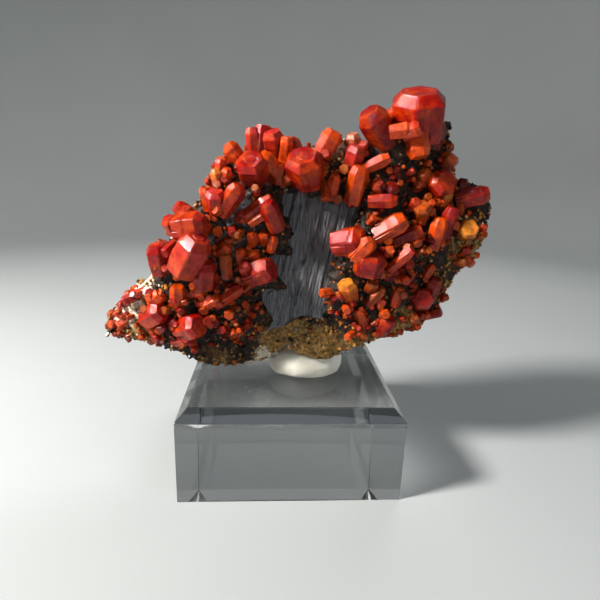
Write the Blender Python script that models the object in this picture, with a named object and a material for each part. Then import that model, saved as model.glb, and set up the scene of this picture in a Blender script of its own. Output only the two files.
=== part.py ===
"""Vanadinite specimen held by white putty on a clear bevelled block.

Metres, +Z up. The origin is the middle of the block's underside, +X is the
specimen's long side and -Y is its show side.
"""

import math
import random
from collections import namedtuple

import bmesh
import bpy
from mathutils import Matrix, Vector, geometry, noise

MM = 0.001
GAP = 0.3 * MM
CORNERS_PER_CRYSTAL = 6
TINY = 1e-7

# Clear block
BLOCK_SIDE = 40 * MM
BLOCK_HEIGHT = 17.5 * MM
BLOCK_BEVEL = 2 * MM

# White putty
PUTTY_CENTRE = Vector((3.4, -0.8, 19.4)) * MM
PUTTY_RADII = Vector((7.6, 5.8, 4.6)) * MM
PUTTY_SIDES = 18
PUTTY_RINGS = 8

# The rock is a slab that leans back. MID_Y is its middle at FOOT_Z.
MID_Y = -4.0 * MM
FOOT_Z = 20 * MM
LEAN = 0.08
SKIN = 0.8 * MM
BACK_DEPTH = 7.5 * MM
BACK_AT_RIM = 0.45
RIM_FADE = 6 * MM
RIM_ROUND = 1.1 * MM
ROCK_GRID = 4.1 * MM
ROCK_JITTER = 0.8 * MM
ROCK_MARGIN = 2.4 * MM
ROUGH_HEIGHT = 1.2 * MM
ROUGH_SCALE = 6 * MM

# The show side passes behind the crystals' middles, by this share of their radius
ROOT_SHARE = 0.35
ROOT_REACH = 2.4 * MM
FREE_WEIGHT = 0.12

# Outline of the rock seen from the front, clockwise from its left tip, x and z in mm
ROCK_OUTLINE = [
    (-35.5, 25), (-36, 27), (-35, 29.5), (-32.5, 31.5), (-29, 35.5), (-26.5, 37), (-24.5, 39.5),
    (-22.5, 44), (-20.5, 47.5), (-18, 50.5), (-15.5, 52.5), (-14.5, 55.5), (-12.5, 58.5), (-10, 60),
    (-6.5, 61), (-1.5, 61), (1.5, 61), (4.5, 62), (7.5, 63), (10.5, 62), (13.5, 62.5), (16, 64),
    (18, 66), (21, 67.5), (24, 67), (27, 67), (29.5, 66.5), (28, 64.7), (29.5, 63), (28.5, 60.5),
    (30, 58), (31, 55), (32.5, 56), (35.5, 55), (37, 53.5), (38, 51.5), (37, 49.5), (36.5, 46),
    (35, 43), (33, 40), (31, 38), (30, 35.5), (28.5, 33), (27, 30.5), (24, 28.3), (20.5, 28),
    (18.5, 26.3), (16, 25.5), (13.5, 24), (10.5, 22.5), (8, 20.6), (4.5, 20.6), (2.5, 21.5),
    (0, 22.5), (-3, 22.3), (-5, 20.5), (-8.5, 20), (-12.5, 19.5), (-16, 20), (-19, 21.5),
    (-21.5, 22.5), (-24.5, 23.5), (-27.5, 25), (-31.5, 24.5),
]

# Swellings of the show side: x, z, spread and height in mm. A negative height is a hollow.
Swelling = namedtuple("Swelling", "x z spread height")
SWELLINGS = [
    Swelling(-20, 44, 9, 5.5),
    Swelling(-12, 56, 8, 3.5),
    Swelling(-22, 31, 8, 2.0),
    Swelling(-5, 30, 8, 1.5),
    Swelling(4, 48, 10, 2.5),
    Swelling(8, 24, 7, 1.0),
    Swelling(17, 44, 8, 4.5),
    Swelling(18, 32, 8, 2.5),
    Swelling(28, 50, 7, 2.5),
    Swelling(10, 60, 7, 2.0),
    Swelling(23.5, 59, 3.5, -4.0),
    Swelling(22, 66, 6, 1.5),
]

# Grey blade: outline in mm, its face, thickness and grooves
BLADE_FACE_Y = -7.0 * MM
BLADE_FACE_Z = 42 * MM
BLADE_THICKNESS = 2.4 * MM
BLADE_CLEARANCE = 6 * MM
GROOVE_TILT = math.radians(11)
GROOVE_PITCH = 1.5 * MM
GROOVE_DEPTH = 0.35 * MM
BLADE_OUTLINE = [
    (-3, 52), (-2, 53.5), (1.5, 54), (2.5, 53), (5, 53.5), (5.5, 52), (9, 52.3), (12, 51.5),
    (11, 47.5), (8, 42.5), (7, 39.5), (7, 35), (5.5, 30.5), (1.5, 31), (-1.5, 29), (-4.5, 28),
    (-3.5, 30), (-5.5, 33.5), (-6, 36), (-1, 36), (-4, 40), (-5.5, 41.5), (-4, 42.5), (-0.5, 42.5),
    (-1.5, 45), (0, 46), (-2, 48.5),
]

# A crystal: its middle, radius and length in mm, then degrees. Lean is clockwise from
# upright, seen from the front. Lift turns the tip towards the viewer. Spin is about its length.
Crystal = namedtuple("Crystal", "x y z radius length lean lift spin")

# Barrel profile: share of the length from the base, share of the radius
BARREL = [(0.0, 0.86), (0.80, 1.0), (1.0, 0.70)]
STUB = [(0.0, 1.0), (1.0, 0.84)]

RED = ("red_vanadinite", (0.52, 0.035, 0.02))
ORANGE = ("orange_vanadinite", (0.80, 0.16, 0.02))
AMBER = ("amber_vanadinite", (0.62, 0.20, 0.03))
DARK = ("dark_vanadinite", (0.22, 0.02, 0.02))

CLUSTERS = {
    "crown_crystals": (RED, [
        Crystal(21, -5, 67, 5.2, 8, -8, 22, 30),
        Crystal(17, -9.5, 64, 1.5, 3.6, 80, 15, 0),
        Crystal(19, -10, 64, 1.6, 3.2, 60, 40, 0),
        Crystal(20.5, -8, 62.5, 2.1, 5.4, 168, 15, 0),
        Crystal(14, -6, 64.5, 2.9, 7.2, -40, 22, 0),
        Crystal(16.5, -3.5, 65.5, 1.7, 5, 15, 5, 0),
        Crystal(25.3, -2, 64, 2.2, 4.6, 8, 10, 0),
    ]),
    "shoulder_crystal": (AMBER, [Crystal(28.3, -1.8, 59.5, 1.8, 3.4, 30, 20, 0)]),
    "round_hexagon_crystals": (RED, [
        Crystal(26.5, -5, 55.5, 2.7, 4.6, 20, 70, 10),
        Crystal(23, -3.5, 56, 1.8, 5, 35, 12, 0),
        Crystal(27.5, -5.5, 53, 1.1, 3, 20, 20, 0),
    ]),
    "nose_crystals": (DARK, [
        Crystal(32.5, -5, 53.5, 2, 6, 72, 15, 0),
        Crystal(31, -3.5, 55, 1.1, 3.4, 5, 5, 0),
    ]),
    "rough_yellow_crystal": (AMBER, [Crystal(31.5, -7, 47.5, 2.1, 3.6, 0, 65, 0)]),
    "tall_pair_crystals": (RED, [
        Crystal(27.5, -7.5, 48.5, 1.6, 6.4, 12, 12, 0),
        Crystal(25.5, -8.5, 47, 1.6, 5.8, 5, 12, 30),
    ]),
    "ribbed_crystal": (AMBER, [Crystal(22.5, -8, 50.5, 1.7, 3.8, -10, 35, 0)]),
    "dark_pair_crystals": (DARK, [
        Crystal(14.3, -8, 54.5, 1.4, 3.2, -20, 40, 0),
        Crystal(16.5, -7.5, 54, 1.6, 3.4, 15, 45, 0),
        Crystal(15, -9, 52.5, 1.4, 5, 86, 10, 0),
    ]),
    "hidden_crystal": (DARK, [Crystal(17, -5.5, 57, 1.6, 3.4, 80, 20, 0)]),
    "pointed_crystals": (RED, [
        Crystal(16.5, -10, 48, 2.1, 6.2, 55, 15, 0),
        Crystal(20, -9.5, 46.5, 1.6, 5.4, 62, 15, 30),
    ]),
    "slim_crystal": (RED, [Crystal(18.5, -11.5, 42.7, 1.2, 5.4, 40, 18, 0)]),
    "right_barrel_crystals": (RED, [
        Crystal(9.5, -10.5, 45.5, 2.9, 5.4, 75, 30, 0),
        Crystal(11.5, -12.5, 44.5, 1.7, 4.6, 35, 25, 0),
        Crystal(13, -11.5, 42, 2.9, 4, 5, 15, 30),
    ]),
    "purple_bar_crystal": (DARK, [Crystal(18.5, -9.5, 39, 1.1, 4.2, 97, 10, 0)]),
    "yellow_barrel_crystal": (AMBER, [Crystal(10, -9.5, 36.5, 1.9, 4.6, -20, 30, 0)]),
    "amber_crystals": (AMBER, [
        Crystal(14, -10, 37.5, 1.2, 2.6, 20, 40, 0),
        Crystal(15, -9.5, 35.5, 1.3, 4.4, 35, 15, 0),
    ]),
    "amber_prism": (AMBER, [Crystal(19, -9.5, 35.5, 1.2, 4, 12, 15, 0)]),
    "edge_crystals": (RED, [
        Crystal(25, -8, 40, 1, 3, 20, 15, 0),
        Crystal(26, -7.5, 36.5, 1.6, 4.8, 10, 20, 0),
        Crystal(24, -8.5, 34.5, 2.2, 3.8, -10, 60, 0),
    ]),
    "slanting_crystal": (ORANGE, [Crystal(13, -8.5, 31, 1.3, 4.4, -28, 15, 0)]),
    "lower_dark_crystal": (DARK, [Crystal(17.5, -9, 30, 1.8, 3.8, 20, 30, 0)]),
    "peak_crystals": (RED, [
        Crystal(-7.5, -4.5, 61.5, 1.4, 5, -6, 5, 0),
        Crystal(-6, -4, 61.5, 1.8, 6, 5, 5, 30),
        Crystal(-4, -4.5, 61.5, 2.1, 4.6, -10, 25, 0),
        Crystal(-2, -5.5, 60.5, 1.4, 4.4, 5, 15, 30),
        Crystal(-0.5, -4, 60.5, 1.8, 4.2, -30, 15, 0),
    ]),
    "red_hexagon_crystal": (RED, [Crystal(1.5, -8.5, 57.5, 3.5, 5.6, -15, 38, 30)]),
    "orange_slab_crystal": (ORANGE, [Crystal(5.5, -5, 61.5, 2, 5.4, 25, 12, 0)]),
    "small_prism_crystal": (RED, [Crystal(6.5, -7.5, 54.5, 1.2, 4.6, 5, 20, 0)]),
    "upright_crystals": (ORANGE, [
        Crystal(10.5, -8, 55, 1.8, 6.6, 8, 15, 30),
        Crystal(10, -6.5, 59.5, 1.9, 4.4, 10, 20, 0),
        Crystal(13.5, -7.5, 58.5, 1.3, 5.6, 62, 15, 0),
        Crystal(10, -5, 62, 1.5, 3.4, -10, 15, 0),
        Crystal(11.5, -4.5, 61, 1.3, 3.2, -20, 10, 0),
    ]),
    "upper_left_crystals": (RED, [
        Crystal(-7.5, -8.5, 57, 2.9, 5, -10, 45, 0),
        Crystal(-10.5, -6.5, 59.5, 1.4, 4.2, -38, 15, 0),
        Crystal(-4.5, -8, 58, 1.6, 4.6, -45, 20, 0),
        Crystal(-3, -7.5, 56.5, 1.1, 3.6, 5, 20, 0),
    ]),
    "rim_prism_crystals": (ORANGE, [
        Crystal(-13, -6.5, 57, 1.2, 3.2, 5, 10, 0),
        Crystal(-12, -7.5, 55.7, 1.1, 3, 10, 15, 0),
        Crystal(-13.5, -7.5, 55.5, 1.2, 3, -10, 15, 0),
    ]),
    "flash_prism_crystals": (ORANGE, [
        Crystal(-11, -10.5, 52, 1.7, 6, 35, 20, 0),
        Crystal(-13.5, -10, 51.7, 1.9, 4, 0, 25, 0),
        Crystal(-15, -9.5, 52, 1.2, 4, -5, 10, 0),
    ]),
    "long_bar_crystals": (RED, [
        Crystal(-7, -9.5, 50.5, 1.3, 7.2, 53, 10, 0),
        Crystal(-4, -10.5, 49.5, 1.7, 5.4, -25, 20, 0),
        Crystal(-6.5, -10, 49, 1, 3.4, 55, 10, 0),
    ]),
    "orange_crumb_crystals": (ORANGE, [
        Crystal(-7.5, -8.5, 45.5, 1.2, 2.8, -10, 30, 0),
        Crystal(-5.5, -8.5, 45.5, 1.1, 2.8, 10, 40, 0),
        Crystal(-4, -8.5, 44.5, 1, 3.2, 12, 15, 0),
    ]),
    "pink_crystals": (RED, [
        Crystal(-19, -9, 49.8, 1.5, 3.4, -50, 20, 0),
        Crystal(-18, -10, 49, 1.7, 3.8, -45, 20, 0),
        Crystal(-17.5, -11.5, 47.5, 2.7, 5.4, 82, 15, 30),
        Crystal(-21, -10, 47.5, 1.6, 3.2, -20, 25, 0),
        Crystal(-17.5, -13, 43, 3.2, 7.4, 27, 18, 30),
        Crystal(-15.5, -11.5, 39.5, 2.2, 5, 8, 20, 0),
    ]),
    "left_edge_crystal": (RED, [Crystal(-23.5, -9.5, 41.5, 2.1, 5.4, -4, 15, 0)]),
    "brown_crystals": (AMBER, [
        Crystal(-12, -9.5, 40.5, 1.3, 4.6, -5, 15, 0),
        Crystal(-12.5, -9.5, 43.5, 1.3, 3, 50, 20, 0),
    ]),
    "red_cluster_crystals": (RED, [
        Crystal(-6, -9.5, 39.5, 2.6, 5.2, 62, 28, 0),
        Crystal(-8.5, -10, 40, 1.3, 3, -20, 40, 0),
        Crystal(-9.5, -8.5, 42, 1.1, 3.4, -5, 20, 0),
        Crystal(-8, -8, 42, 1.2, 3.8, 65, 20, 0),
    ]),
    "lower_bar_crystals": (RED, [
        Crystal(-11.5, -9.5, 35, 1.3, 6.2, 52, 10, 0),
        Crystal(-14.5, -9.5, 34, 1.2, 3.2, 55, 15, 0),
        Crystal(-16.5, -9, 35, 1.1, 3.4, -35, 15, 0),
    ]),
    "lower_hexagon_crystal": (ORANGE, [Crystal(-20.5, -9.5, 35, 1.5, 4.2, 5, 20, 0)]),
    "white_flash_crystals": (RED, [
        Crystal(-25, -8.5, 31, 2.3, 5, 55, 28, 0),
        Crystal(-24.5, -8.5, 34, 1.5, 3.2, 40, 20, 0),
        Crystal(-25.5, -7.5, 28, 1.4, 3.6, -15, 20, 0),
    ]),
    "lower_red_crystals": (RED, [
        Crystal(-18.5, -9.5, 29, 2.6, 5.2, 65, 38, 0),
        Crystal(-20.5, -8, 26, 1.4, 3.6, 70, 25, 0),
        Crystal(-18.5, -8, 25.5, 1, 2.8, 10, 60, 0),
    ]),
    "back_left_crystals": (RED, [
        Crystal(-17, 6.5, 42, 1.9, 5, -30, -50, 0),
        Crystal(-14.5, 6.5, 41, 1.4, 4, 40, -40, 0),
    ]),
    "back_top_crystal": (ORANGE, [Crystal(2, 6.5, 56, 1.7, 4.6, 10, -45, 0)]),
    "back_right_crystals": (RED, [
        Crystal(24, 7, 50, 2.1, 5, 25, -50, 0),
        Crystal(22, 7, 47.5, 1.5, 4.2, -50, -35, 0),
    ]),
    "back_low_crystal": (AMBER, [Crystal(13, 5.5, 33, 1.6, 4.2, 20, -55, 0)]),
}

# Small crystals that are one piece with the rock: x, z, radius and length in mm, lean and lift
SMALL_CRYSTALS = [
    (-12.5, 47, 0.9, 3, 60, 10), (-30, 31.5, 0.9, 2.6, -40, 15),
    (-28.5, 33, 0.8, 2.2, -20, 20), (-32, 29, 0.8, 2.2, 40, 20), (-10.5, 30, 1.1, 2.6, 20, 30),
    (-8, 32, 1, 2.2, 75, 15), (-6.5, 34.5, 0.8, 2, 60, 15), (-14, 31, 0.8, 2, -60, 20),
    (-7.5, 28.5, 0.8, 2, 40, 40), (-13.5, 27.5, 0.9, 2, -20, 30), (29.5, 39.5, 1, 2.2, 20, 20),
    (31.5, 41, 1, 2, 40, 20), (8.5, 31.5, 0.8, 1.8, 0, 30), (10, 27.5, 1.3, 2.6, 10, 40),
    (20.5, 30, 0.9, 2.2, 30, 30), (22.5, 42, 1.3, 3, 20, 30), (22, 38, 0.8, 2, 30, 40),
    (-27, 35.5, 0.7, 1.8, 10, 20), (34, 45, 0.9, 2, 30, 20),
    (-2, 26.5, 0.9, 2.4, -30, 25), (1, 28, 0.7, 2, 10, 35), (5.5, 27, 1, 2.2, 30, 30),
    (-7, 24, 1, 2.4, -15, 30), (3.5, 24, 0.8, 2, -10, 45), (-12, 23, 0.9, 2.2, 25, 30),
]

# Fine druse, grown over the rock by rule
DRUSE_SEED = 7
DRUSE_COUNT = 20
DRUSE_SPACING = 2.6 * MM
DRUSE_RADIUS = (0.55, 0.95)
DRUSE_LENGTH = (1.6, 2.6)
DRUSE_SPREAD = 0.5


def clear_scene():
    for item in list(bpy.data.objects):
        bpy.data.objects.remove(item)


def material(name, colour, roughness=0.3, alpha=1.0):
    made = bpy.data.materials.get(name) or bpy.data.materials.new(name)
    made.use_nodes = True
    shader = made.node_tree.nodes["Principled BSDF"]
    shader.inputs["Base Color"].default_value = (*colour, 1.0)
    shader.inputs["Roughness"].default_value = roughness
    shader.inputs["Metallic"].default_value = 0.0
    shader.inputs["Alpha"].default_value = alpha
    return made


def add_object(name, bm, surface=None):
    """Turn a bmesh into an object in the scene."""
    bmesh.ops.recalc_face_normals(bm, faces=bm.faces)
    mesh = bpy.data.meshes.new(name)
    bm.to_mesh(mesh)
    bm.free()
    made = bpy.data.objects.new(name, mesh)
    bpy.context.collection.objects.link(made)
    if surface:
        made.data.materials.append(surface)
    return made


def apply_boolean(target, tool, operation):
    """Join a tool to the target or cut it away, and remove the tool."""
    modifier = target.modifiers.new("shape", "BOOLEAN")
    modifier.operation = operation
    modifier.solver = "EXACT"
    modifier.object = tool
    evaluated = target.evaluated_get(bpy.context.evaluated_depsgraph_get())
    shaped = bpy.data.meshes.new_from_object(evaluated)
    target.modifiers.clear()
    target.data = shaped
    bpy.data.objects.remove(tool)


def crystal_matrix(crystal):
    """Place a crystal's own +Z along its lean and lift."""
    lean = math.radians(crystal.lean)
    lift = math.radians(crystal.lift)
    axis = Vector((
        math.sin(lean) * math.cos(lift),
        -math.sin(lift),
        math.cos(lean) * math.cos(lift),
    ))
    turn = axis.to_track_quat("Z", "Y").to_matrix().to_4x4()
    place = Matrix.Translation(Vector((crystal.x, crystal.y, crystal.z)) * MM)
    return place @ turn @ Matrix.Rotation(math.radians(crystal.spin), 4, "Z")


def add_prism(bm, matrix, rings):
    """Add a closed six-sided solid through rings of (height, radius)."""
    loops = []
    for height, radius in rings:
        ring = []
        for corner in range(CORNERS_PER_CRYSTAL):
            angle = math.tau * corner / CORNERS_PER_CRYSTAL
            point = Vector((radius * math.cos(angle), radius * math.sin(angle), height))
            ring.append(bm.verts.new(matrix @ point))
        loops.append(ring)
    bm.faces.new(reversed(loops[0]))
    bm.faces.new(loops[-1])
    for lower, upper in zip(loops, loops[1:]):
        for corner in range(CORNERS_PER_CRYSTAL):
            after = (corner + 1) % CORNERS_PER_CRYSTAL
            bm.faces.new((lower[corner], lower[after], upper[after], upper[corner]))


def crystal_rings(crystal, profile, grow):
    """Rings of a crystal, moved outward by grow on every side."""
    length = crystal.length * MM
    radius = crystal.radius * MM
    side = grow / math.cos(math.pi / CORNERS_PER_CRYSTAL)
    rings = []
    for share, width in profile:
        step = -grow if share == 0.0 else grow
        rings.append(((share - 0.5) * length + step, width * radius + side))
    return rings


def crystal_object(name, crystal, profile=BARREL, grow=0.0, surface=None):
    bm = bmesh.new()
    add_prism(bm, crystal_matrix(crystal), crystal_rings(crystal, profile, grow))
    return add_object(name, bm, surface)


def cluster_object(name, crystals, grow=0.0, surface=None):
    """Crystals grown into one another, as one solid."""
    joined = crystal_object(name, crystals[0], grow=grow, surface=surface)
    for crystal in crystals[1:]:
        apply_boolean(joined, crystal_object("grown", crystal, grow=grow), "UNION")
    return joined


def cut_by_clusters(target, clusters):
    """Leave a socket with a small gap round every cluster."""
    for crystals in clusters:
        apply_boolean(target, cluster_object("socket", crystals, grow=GAP), "DIFFERENCE")


def make_block():
    bm = bmesh.new()
    bmesh.ops.create_cube(bm, size=1.0)
    bmesh.ops.scale(bm, vec=(BLOCK_SIDE, BLOCK_SIDE, BLOCK_HEIGHT), verts=bm.verts)
    bmesh.ops.translate(bm, vec=(0, 0, BLOCK_HEIGHT / 2), verts=bm.verts)
    top_edges = [e for e in bm.edges if all(v.co.z > BLOCK_HEIGHT / 2 for v in e.verts)]
    bmesh.ops.bevel(bm, geom=top_edges, offset=BLOCK_BEVEL, segments=1, affect="EDGES")
    return add_object("acrylic_block", bm, material("clear_acrylic", (0.85, 0.9, 0.92), 0.05, 0.3))


def putty_object(name, grow=0.0, surface=None):
    """A squashed ball of putty with a flat foot on the block."""
    bm = bmesh.new()
    bmesh.ops.create_uvsphere(bm, u_segments=PUTTY_SIDES, v_segments=PUTTY_RINGS, radius=1.0)
    foot = BLOCK_HEIGHT + GAP - grow
    for vert in bm.verts:
        point = Vector(vert.co[i] * (PUTTY_RADII[i] + grow) for i in range(3)) + PUTTY_CENTRE
        point.z = max(point.z, foot)
        vert.co = point
    bmesh.ops.remove_doubles(bm, verts=bm.verts, dist=TINY)
    bmesh.ops.dissolve_limit(bm, angle_limit=math.radians(1), verts=bm.verts, edges=bm.edges)
    return add_object(name, bm, surface)


def rock_middle(z):
    return MID_Y + LEAN * (z - FOOT_Z)


def outline(corners):
    return [Vector(corner) * MM for corner in corners]


def rim_distance(corners, point):
    """Distance from a point to the edges of an outline."""
    nearest = math.inf
    for start, end in zip(corners, corners[1:] + corners[:1]):
        share = geometry.intersect_point_line(point, start, end)[1]
        closest = start.lerp(end, min(max(share, 0.0), 1.0))
        nearest = min(nearest, (point - closest).length)
    return nearest


def is_inside(corners, x, z):
    """Count the outline's edges that a line to the right crosses."""
    crossings = 0
    for start, end in zip(corners, corners[1:] + corners[:1]):
        if (start.y > z) != (end.y > z):
            crossings += x < start.x + (z - start.y) / (end.y - start.y) * (end.x - start.x)
    return crossings % 2 == 1


def swelling_height(x, z):
    total = 0.0
    for swelling in SWELLINGS:
        away = math.hypot(x - swelling.x * MM, z - swelling.z * MM) / (swelling.spread * MM)
        total += swelling.height * MM * math.exp(-away * away / 2)
    return total


def roughness(x, z, layer):
    return ROUGH_HEIGHT * noise.noise(Vector((x, layer, z)) / ROUGH_SCALE)


def front_y(x, z):
    """Show side of the rock: swellings, drawn to the crystals that root in it."""
    depth = rock_middle(z) - SKIN - swelling_height(x, z)
    total = FREE_WEIGHT * depth
    weights = FREE_WEIGHT
    for _, crystals in CLUSTERS.values():
        for crystal in crystals:
            away = math.hypot(x - crystal.x * MM, z - crystal.z * MM) / ROOT_REACH
            weight = math.exp(-away * away / 2) * (crystal.lift > 0)
            total += weight * (crystal.y + ROOT_SHARE * crystal.radius) * MM
            weights += weight
    return total / weights + roughness(x, z, 0.0)


def back_y(x, z, rise):
    return rock_middle(z) + BACK_DEPTH * rise + roughness(x, z, 1.0)


def rock_points(corners):
    """A loose grid of points inside the rock's outline."""
    chance = random.Random(DRUSE_SEED)
    low = Vector((min(c.x for c in corners), min(c.y for c in corners)))
    high = Vector((max(c.x for c in corners), max(c.y for c in corners)))
    points = []
    for row in range(int((high.y - low.y) / ROCK_GRID) + 1):
        for column in range(int((high.x - low.x) / ROCK_GRID) + 1):
            step = Vector((column + 0.5 * (row % 2), row)) * ROCK_GRID
            jitter = Vector((chance.uniform(-1, 1), chance.uniform(-1, 1))) * ROCK_JITTER
            point = low + step + jitter
            if is_inside(corners, *point) and rim_distance(corners, point) > ROCK_MARGIN:
                points.append(point)
    return points


def triangulate(corners, extra_points=(), extra_edges=()):
    """Triangles inside an outline, through extra points and along extra edges."""
    points = list(corners) + list(extra_points)
    loop = [(i, (i + 1) % len(corners)) for i in range(len(corners))]
    points, _, faces, *_ = geometry.delaunay_2d_cdt(points, loop + list(extra_edges), [], 0, TINY)
    triangles = []
    for face in faces:
        middle = sum((points[i] for i in face), Vector((0, 0))) / len(face)
        if is_inside(corners, middle.x, middle.y):
            triangles.append(tuple(face))
    return points, triangles


def border_edges(triangles):
    """Edges that belong to one triangle only."""
    uses = {}
    for triangle in triangles:
        for a, b in zip(triangle, triangle[1:] + triangle[:1]):
            uses.setdefault(frozenset((a, b)), []).append((a, b))
    return [pair[0] for pair in uses.values() if len(pair) == 1]


def offset_outline(corners, distance):
    """Move each corner of a clockwise outline out along the mitre of its edges."""
    moved = []
    for before, corner, after in zip(corners[-1:] + corners[:-1], corners, corners[1:] + corners[:1]):
        first = (corner - before).normalized()
        second = (after - corner).normalized()
        out = (Vector((-first.y, first.x)) + Vector((-second.y, second.x))).normalized()
        moved.append(corner + out * distance)
    return moved


def rock_object():
    """The bare rock, before crystals, blade and putty are let into it."""
    corners = outline(ROCK_OUTLINE)
    points, triangles = triangulate(corners, rock_points(corners))
    inner = offset_outline(corners, -RIM_ROUND) + points[len(corners):]
    bm = bmesh.new()
    near = []
    far = []
    ring = []
    for corner, point in zip(points, inner):
        rise = min(rim_distance(corners, corner) / RIM_FADE, 1.0)
        rise = BACK_AT_RIM + (1 - BACK_AT_RIM) * rise
        near.append(bm.verts.new((point.x, front_y(point.x, point.y), point.y)))
        far.append(bm.verts.new((point.x, back_y(point.x, point.y, rise), point.y)))
    for corner, front, back in zip(corners, near, far):
        ring.append(bm.verts.new((corner.x, (front.co.y + back.co.y) / 2, corner.y)))
    for a, b, c in triangles:
        bm.faces.new((near[a], near[b], near[c]))
        bm.faces.new((far[c], far[b], far[a]))
    for a, b in border_edges(triangles):
        bm.faces.new((near[a], near[b], ring[b], ring[a]))
        bm.faces.new((ring[a], ring[b], far[b], far[a]))
    return add_object("matrix", bm, material("dark_matrix", (0.06, 0.045, 0.035), 0.6))


def plate_object(name, points, triangles, front, back, surface=None):
    """Close a flat triangulation into a plate between two depths."""
    bm = bmesh.new()
    near = [bm.verts.new((p.x, front(p), p.y)) for p in points]
    far = [bm.verts.new((p.x, back(p), p.y)) for p in points]
    for a, b, c in triangles:
        bm.faces.new((near[a], near[b], near[c]))
        bm.faces.new((far[c], far[b], far[a]))
    for a, b in border_edges(triangles):
        bm.faces.new((near[a], near[b], far[b], far[a]))
    loose = [vert for vert in bm.verts if not vert.link_faces]
    bmesh.ops.delete(bm, geom=loose, context="VERTS")
    return add_object(name, bm, surface)


def groove_depth(point):
    """Depth of the blade's grooves, a zigzag across their direction."""
    across = (point.x * math.cos(GROOVE_TILT) - point.y * math.sin(GROOVE_TILT)) / GROOVE_PITCH
    return GROOVE_DEPTH * abs(2 * (across % 1.0) - 1.0)


def groove_lines(corners):
    """Lines along the crests and feet of the grooves, longer than the blade."""
    along = Vector((math.sin(GROOVE_TILT), math.cos(GROOVE_TILT)))
    across = Vector((math.cos(GROOVE_TILT), -math.sin(GROOVE_TILT)))
    reach = [corner.dot(along) for corner in corners]
    spread = [corner.dot(across) for corner in corners]
    step = GROOVE_PITCH / 2
    points = []
    edges = []
    for line in range(math.ceil(min(spread) / step), math.floor(max(spread) / step) + 1):
        first = len(corners) + len(points)
        points.append(across * line * step + along * (min(reach) - step))
        points.append(across * line * step + along * (max(reach) + step))
        edges.append((first, first + 1))
    return points, edges


def blade_face(point):
    return BLADE_FACE_Y + LEAN * (point.y - BLADE_FACE_Z)


def blade_object():
    corners = outline(BLADE_OUTLINE)
    points, triangles = triangulate(corners, *groove_lines(corners))
    return plate_object(
        "striated_blade", points, triangles,
        lambda point: blade_face(point) + groove_depth(point),
        lambda point: blade_face(point) + BLADE_THICKNESS,
        material("grey_blade", (0.2, 0.205, 0.22), 0.35),
    )


def blade_socket():
    """Room for the blade in the rock, open towards the viewer."""
    corners = offset_outline(outline(BLADE_OUTLINE), GAP * math.sqrt(2))
    points, triangles = triangulate(corners)
    return plate_object(
        "blade_socket", points, triangles,
        lambda point: blade_face(point) - BLADE_CLEARANCE,
        lambda point: blade_face(point) + BLADE_THICKNESS + GAP,
    )


def small_crystals():
    """The listed small crystals, each half sunk in the rock's show side."""
    for x, z, radius, length, lean, lift in SMALL_CRYSTALS:
        y = front_y(x * MM, z * MM) / MM
        yield Crystal(x, y, z, radius, length, lean, lift, 0)


def surface_spots(rock):
    """Seeded places on the rock's faces, apart from each other and from larger crystals."""
    chance = random.Random(DRUSE_SEED)
    taken = [Vector((c.x, c.y, c.z)) * MM for _, group in CLUSTERS.values() for c in group]
    reach = [c.radius * MM + DRUSE_SPACING for _, group in CLUSTERS.values() for c in group]
    taken += [Vector((c.x, c.y, c.z)) * MM for c in small_crystals()]
    reach += [DRUSE_SPACING] * len(SMALL_CRYSTALS)
    blade = outline(BLADE_OUTLINE)
    polygons = list(rock.data.polygons)
    sizes = [polygon.area for polygon in polygons]
    spots = []
    while len(spots) < DRUSE_COUNT:
        polygon = chance.choices(polygons, sizes)[0]
        spot = polygon.center.copy()
        on_blade = polygon.normal.y < 0 and is_inside(blade, spot.x, spot.z)
        on_putty = (spot - PUTTY_CENTRE).length < PUTTY_RADII.x + DRUSE_SPACING
        crowded = any((spot - t).length < r for t, r in zip(taken, reach))
        if not (on_blade or on_putty or crowded):
            spots.append((spot, polygon.normal.copy()))
            taken.append(spot)
            reach.append(DRUSE_SPACING)
    return spots


def add_druse(rock):
    """Fuse the small crystals to the rock."""
    chance = random.Random(DRUSE_SEED + 1)
    spots = surface_spots(rock)
    for crystal in small_crystals():
        apply_boolean(rock, crystal_object("small", crystal, STUB), "UNION")
    for spot, normal in spots:
        lean = Vector(chance.uniform(-1, 1) for _ in range(3)) * DRUSE_SPREAD
        turn = (normal + lean).to_track_quat("Z", "Y").to_matrix().to_4x4()
        radius = chance.uniform(*DRUSE_RADIUS) * MM
        half = chance.uniform(*DRUSE_LENGTH) * MM / 2
        bm = bmesh.new()
        add_prism(bm, Matrix.Translation(spot) @ turn, [(-half, radius), (half, radius * STUB[1][1])])
        apply_boolean(rock, add_object("druse", bm), "UNION")


def keep_largest_body(target):
    """Drop chips that the sockets have cut loose."""
    bm = bmesh.new()
    bm.from_mesh(target.data)
    waiting = set(bm.verts)
    bodies = []
    while waiting:
        body = {waiting.pop()}
        edge_of_search = list(body)
        while edge_of_search:
            vert = edge_of_search.pop()
            for edge in vert.link_edges:
                other = edge.other_vert(vert)
                if other in waiting:
                    waiting.remove(other)
                    body.add(other)
                    edge_of_search.append(other)
        bodies.append(body)
    bodies.sort(key=len)
    chips = [vert for body in bodies[:-1] for vert in body]
    bmesh.ops.delete(bm, geom=chips, context="VERTS")
    bm.to_mesh(target.data)
    bm.free()


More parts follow.
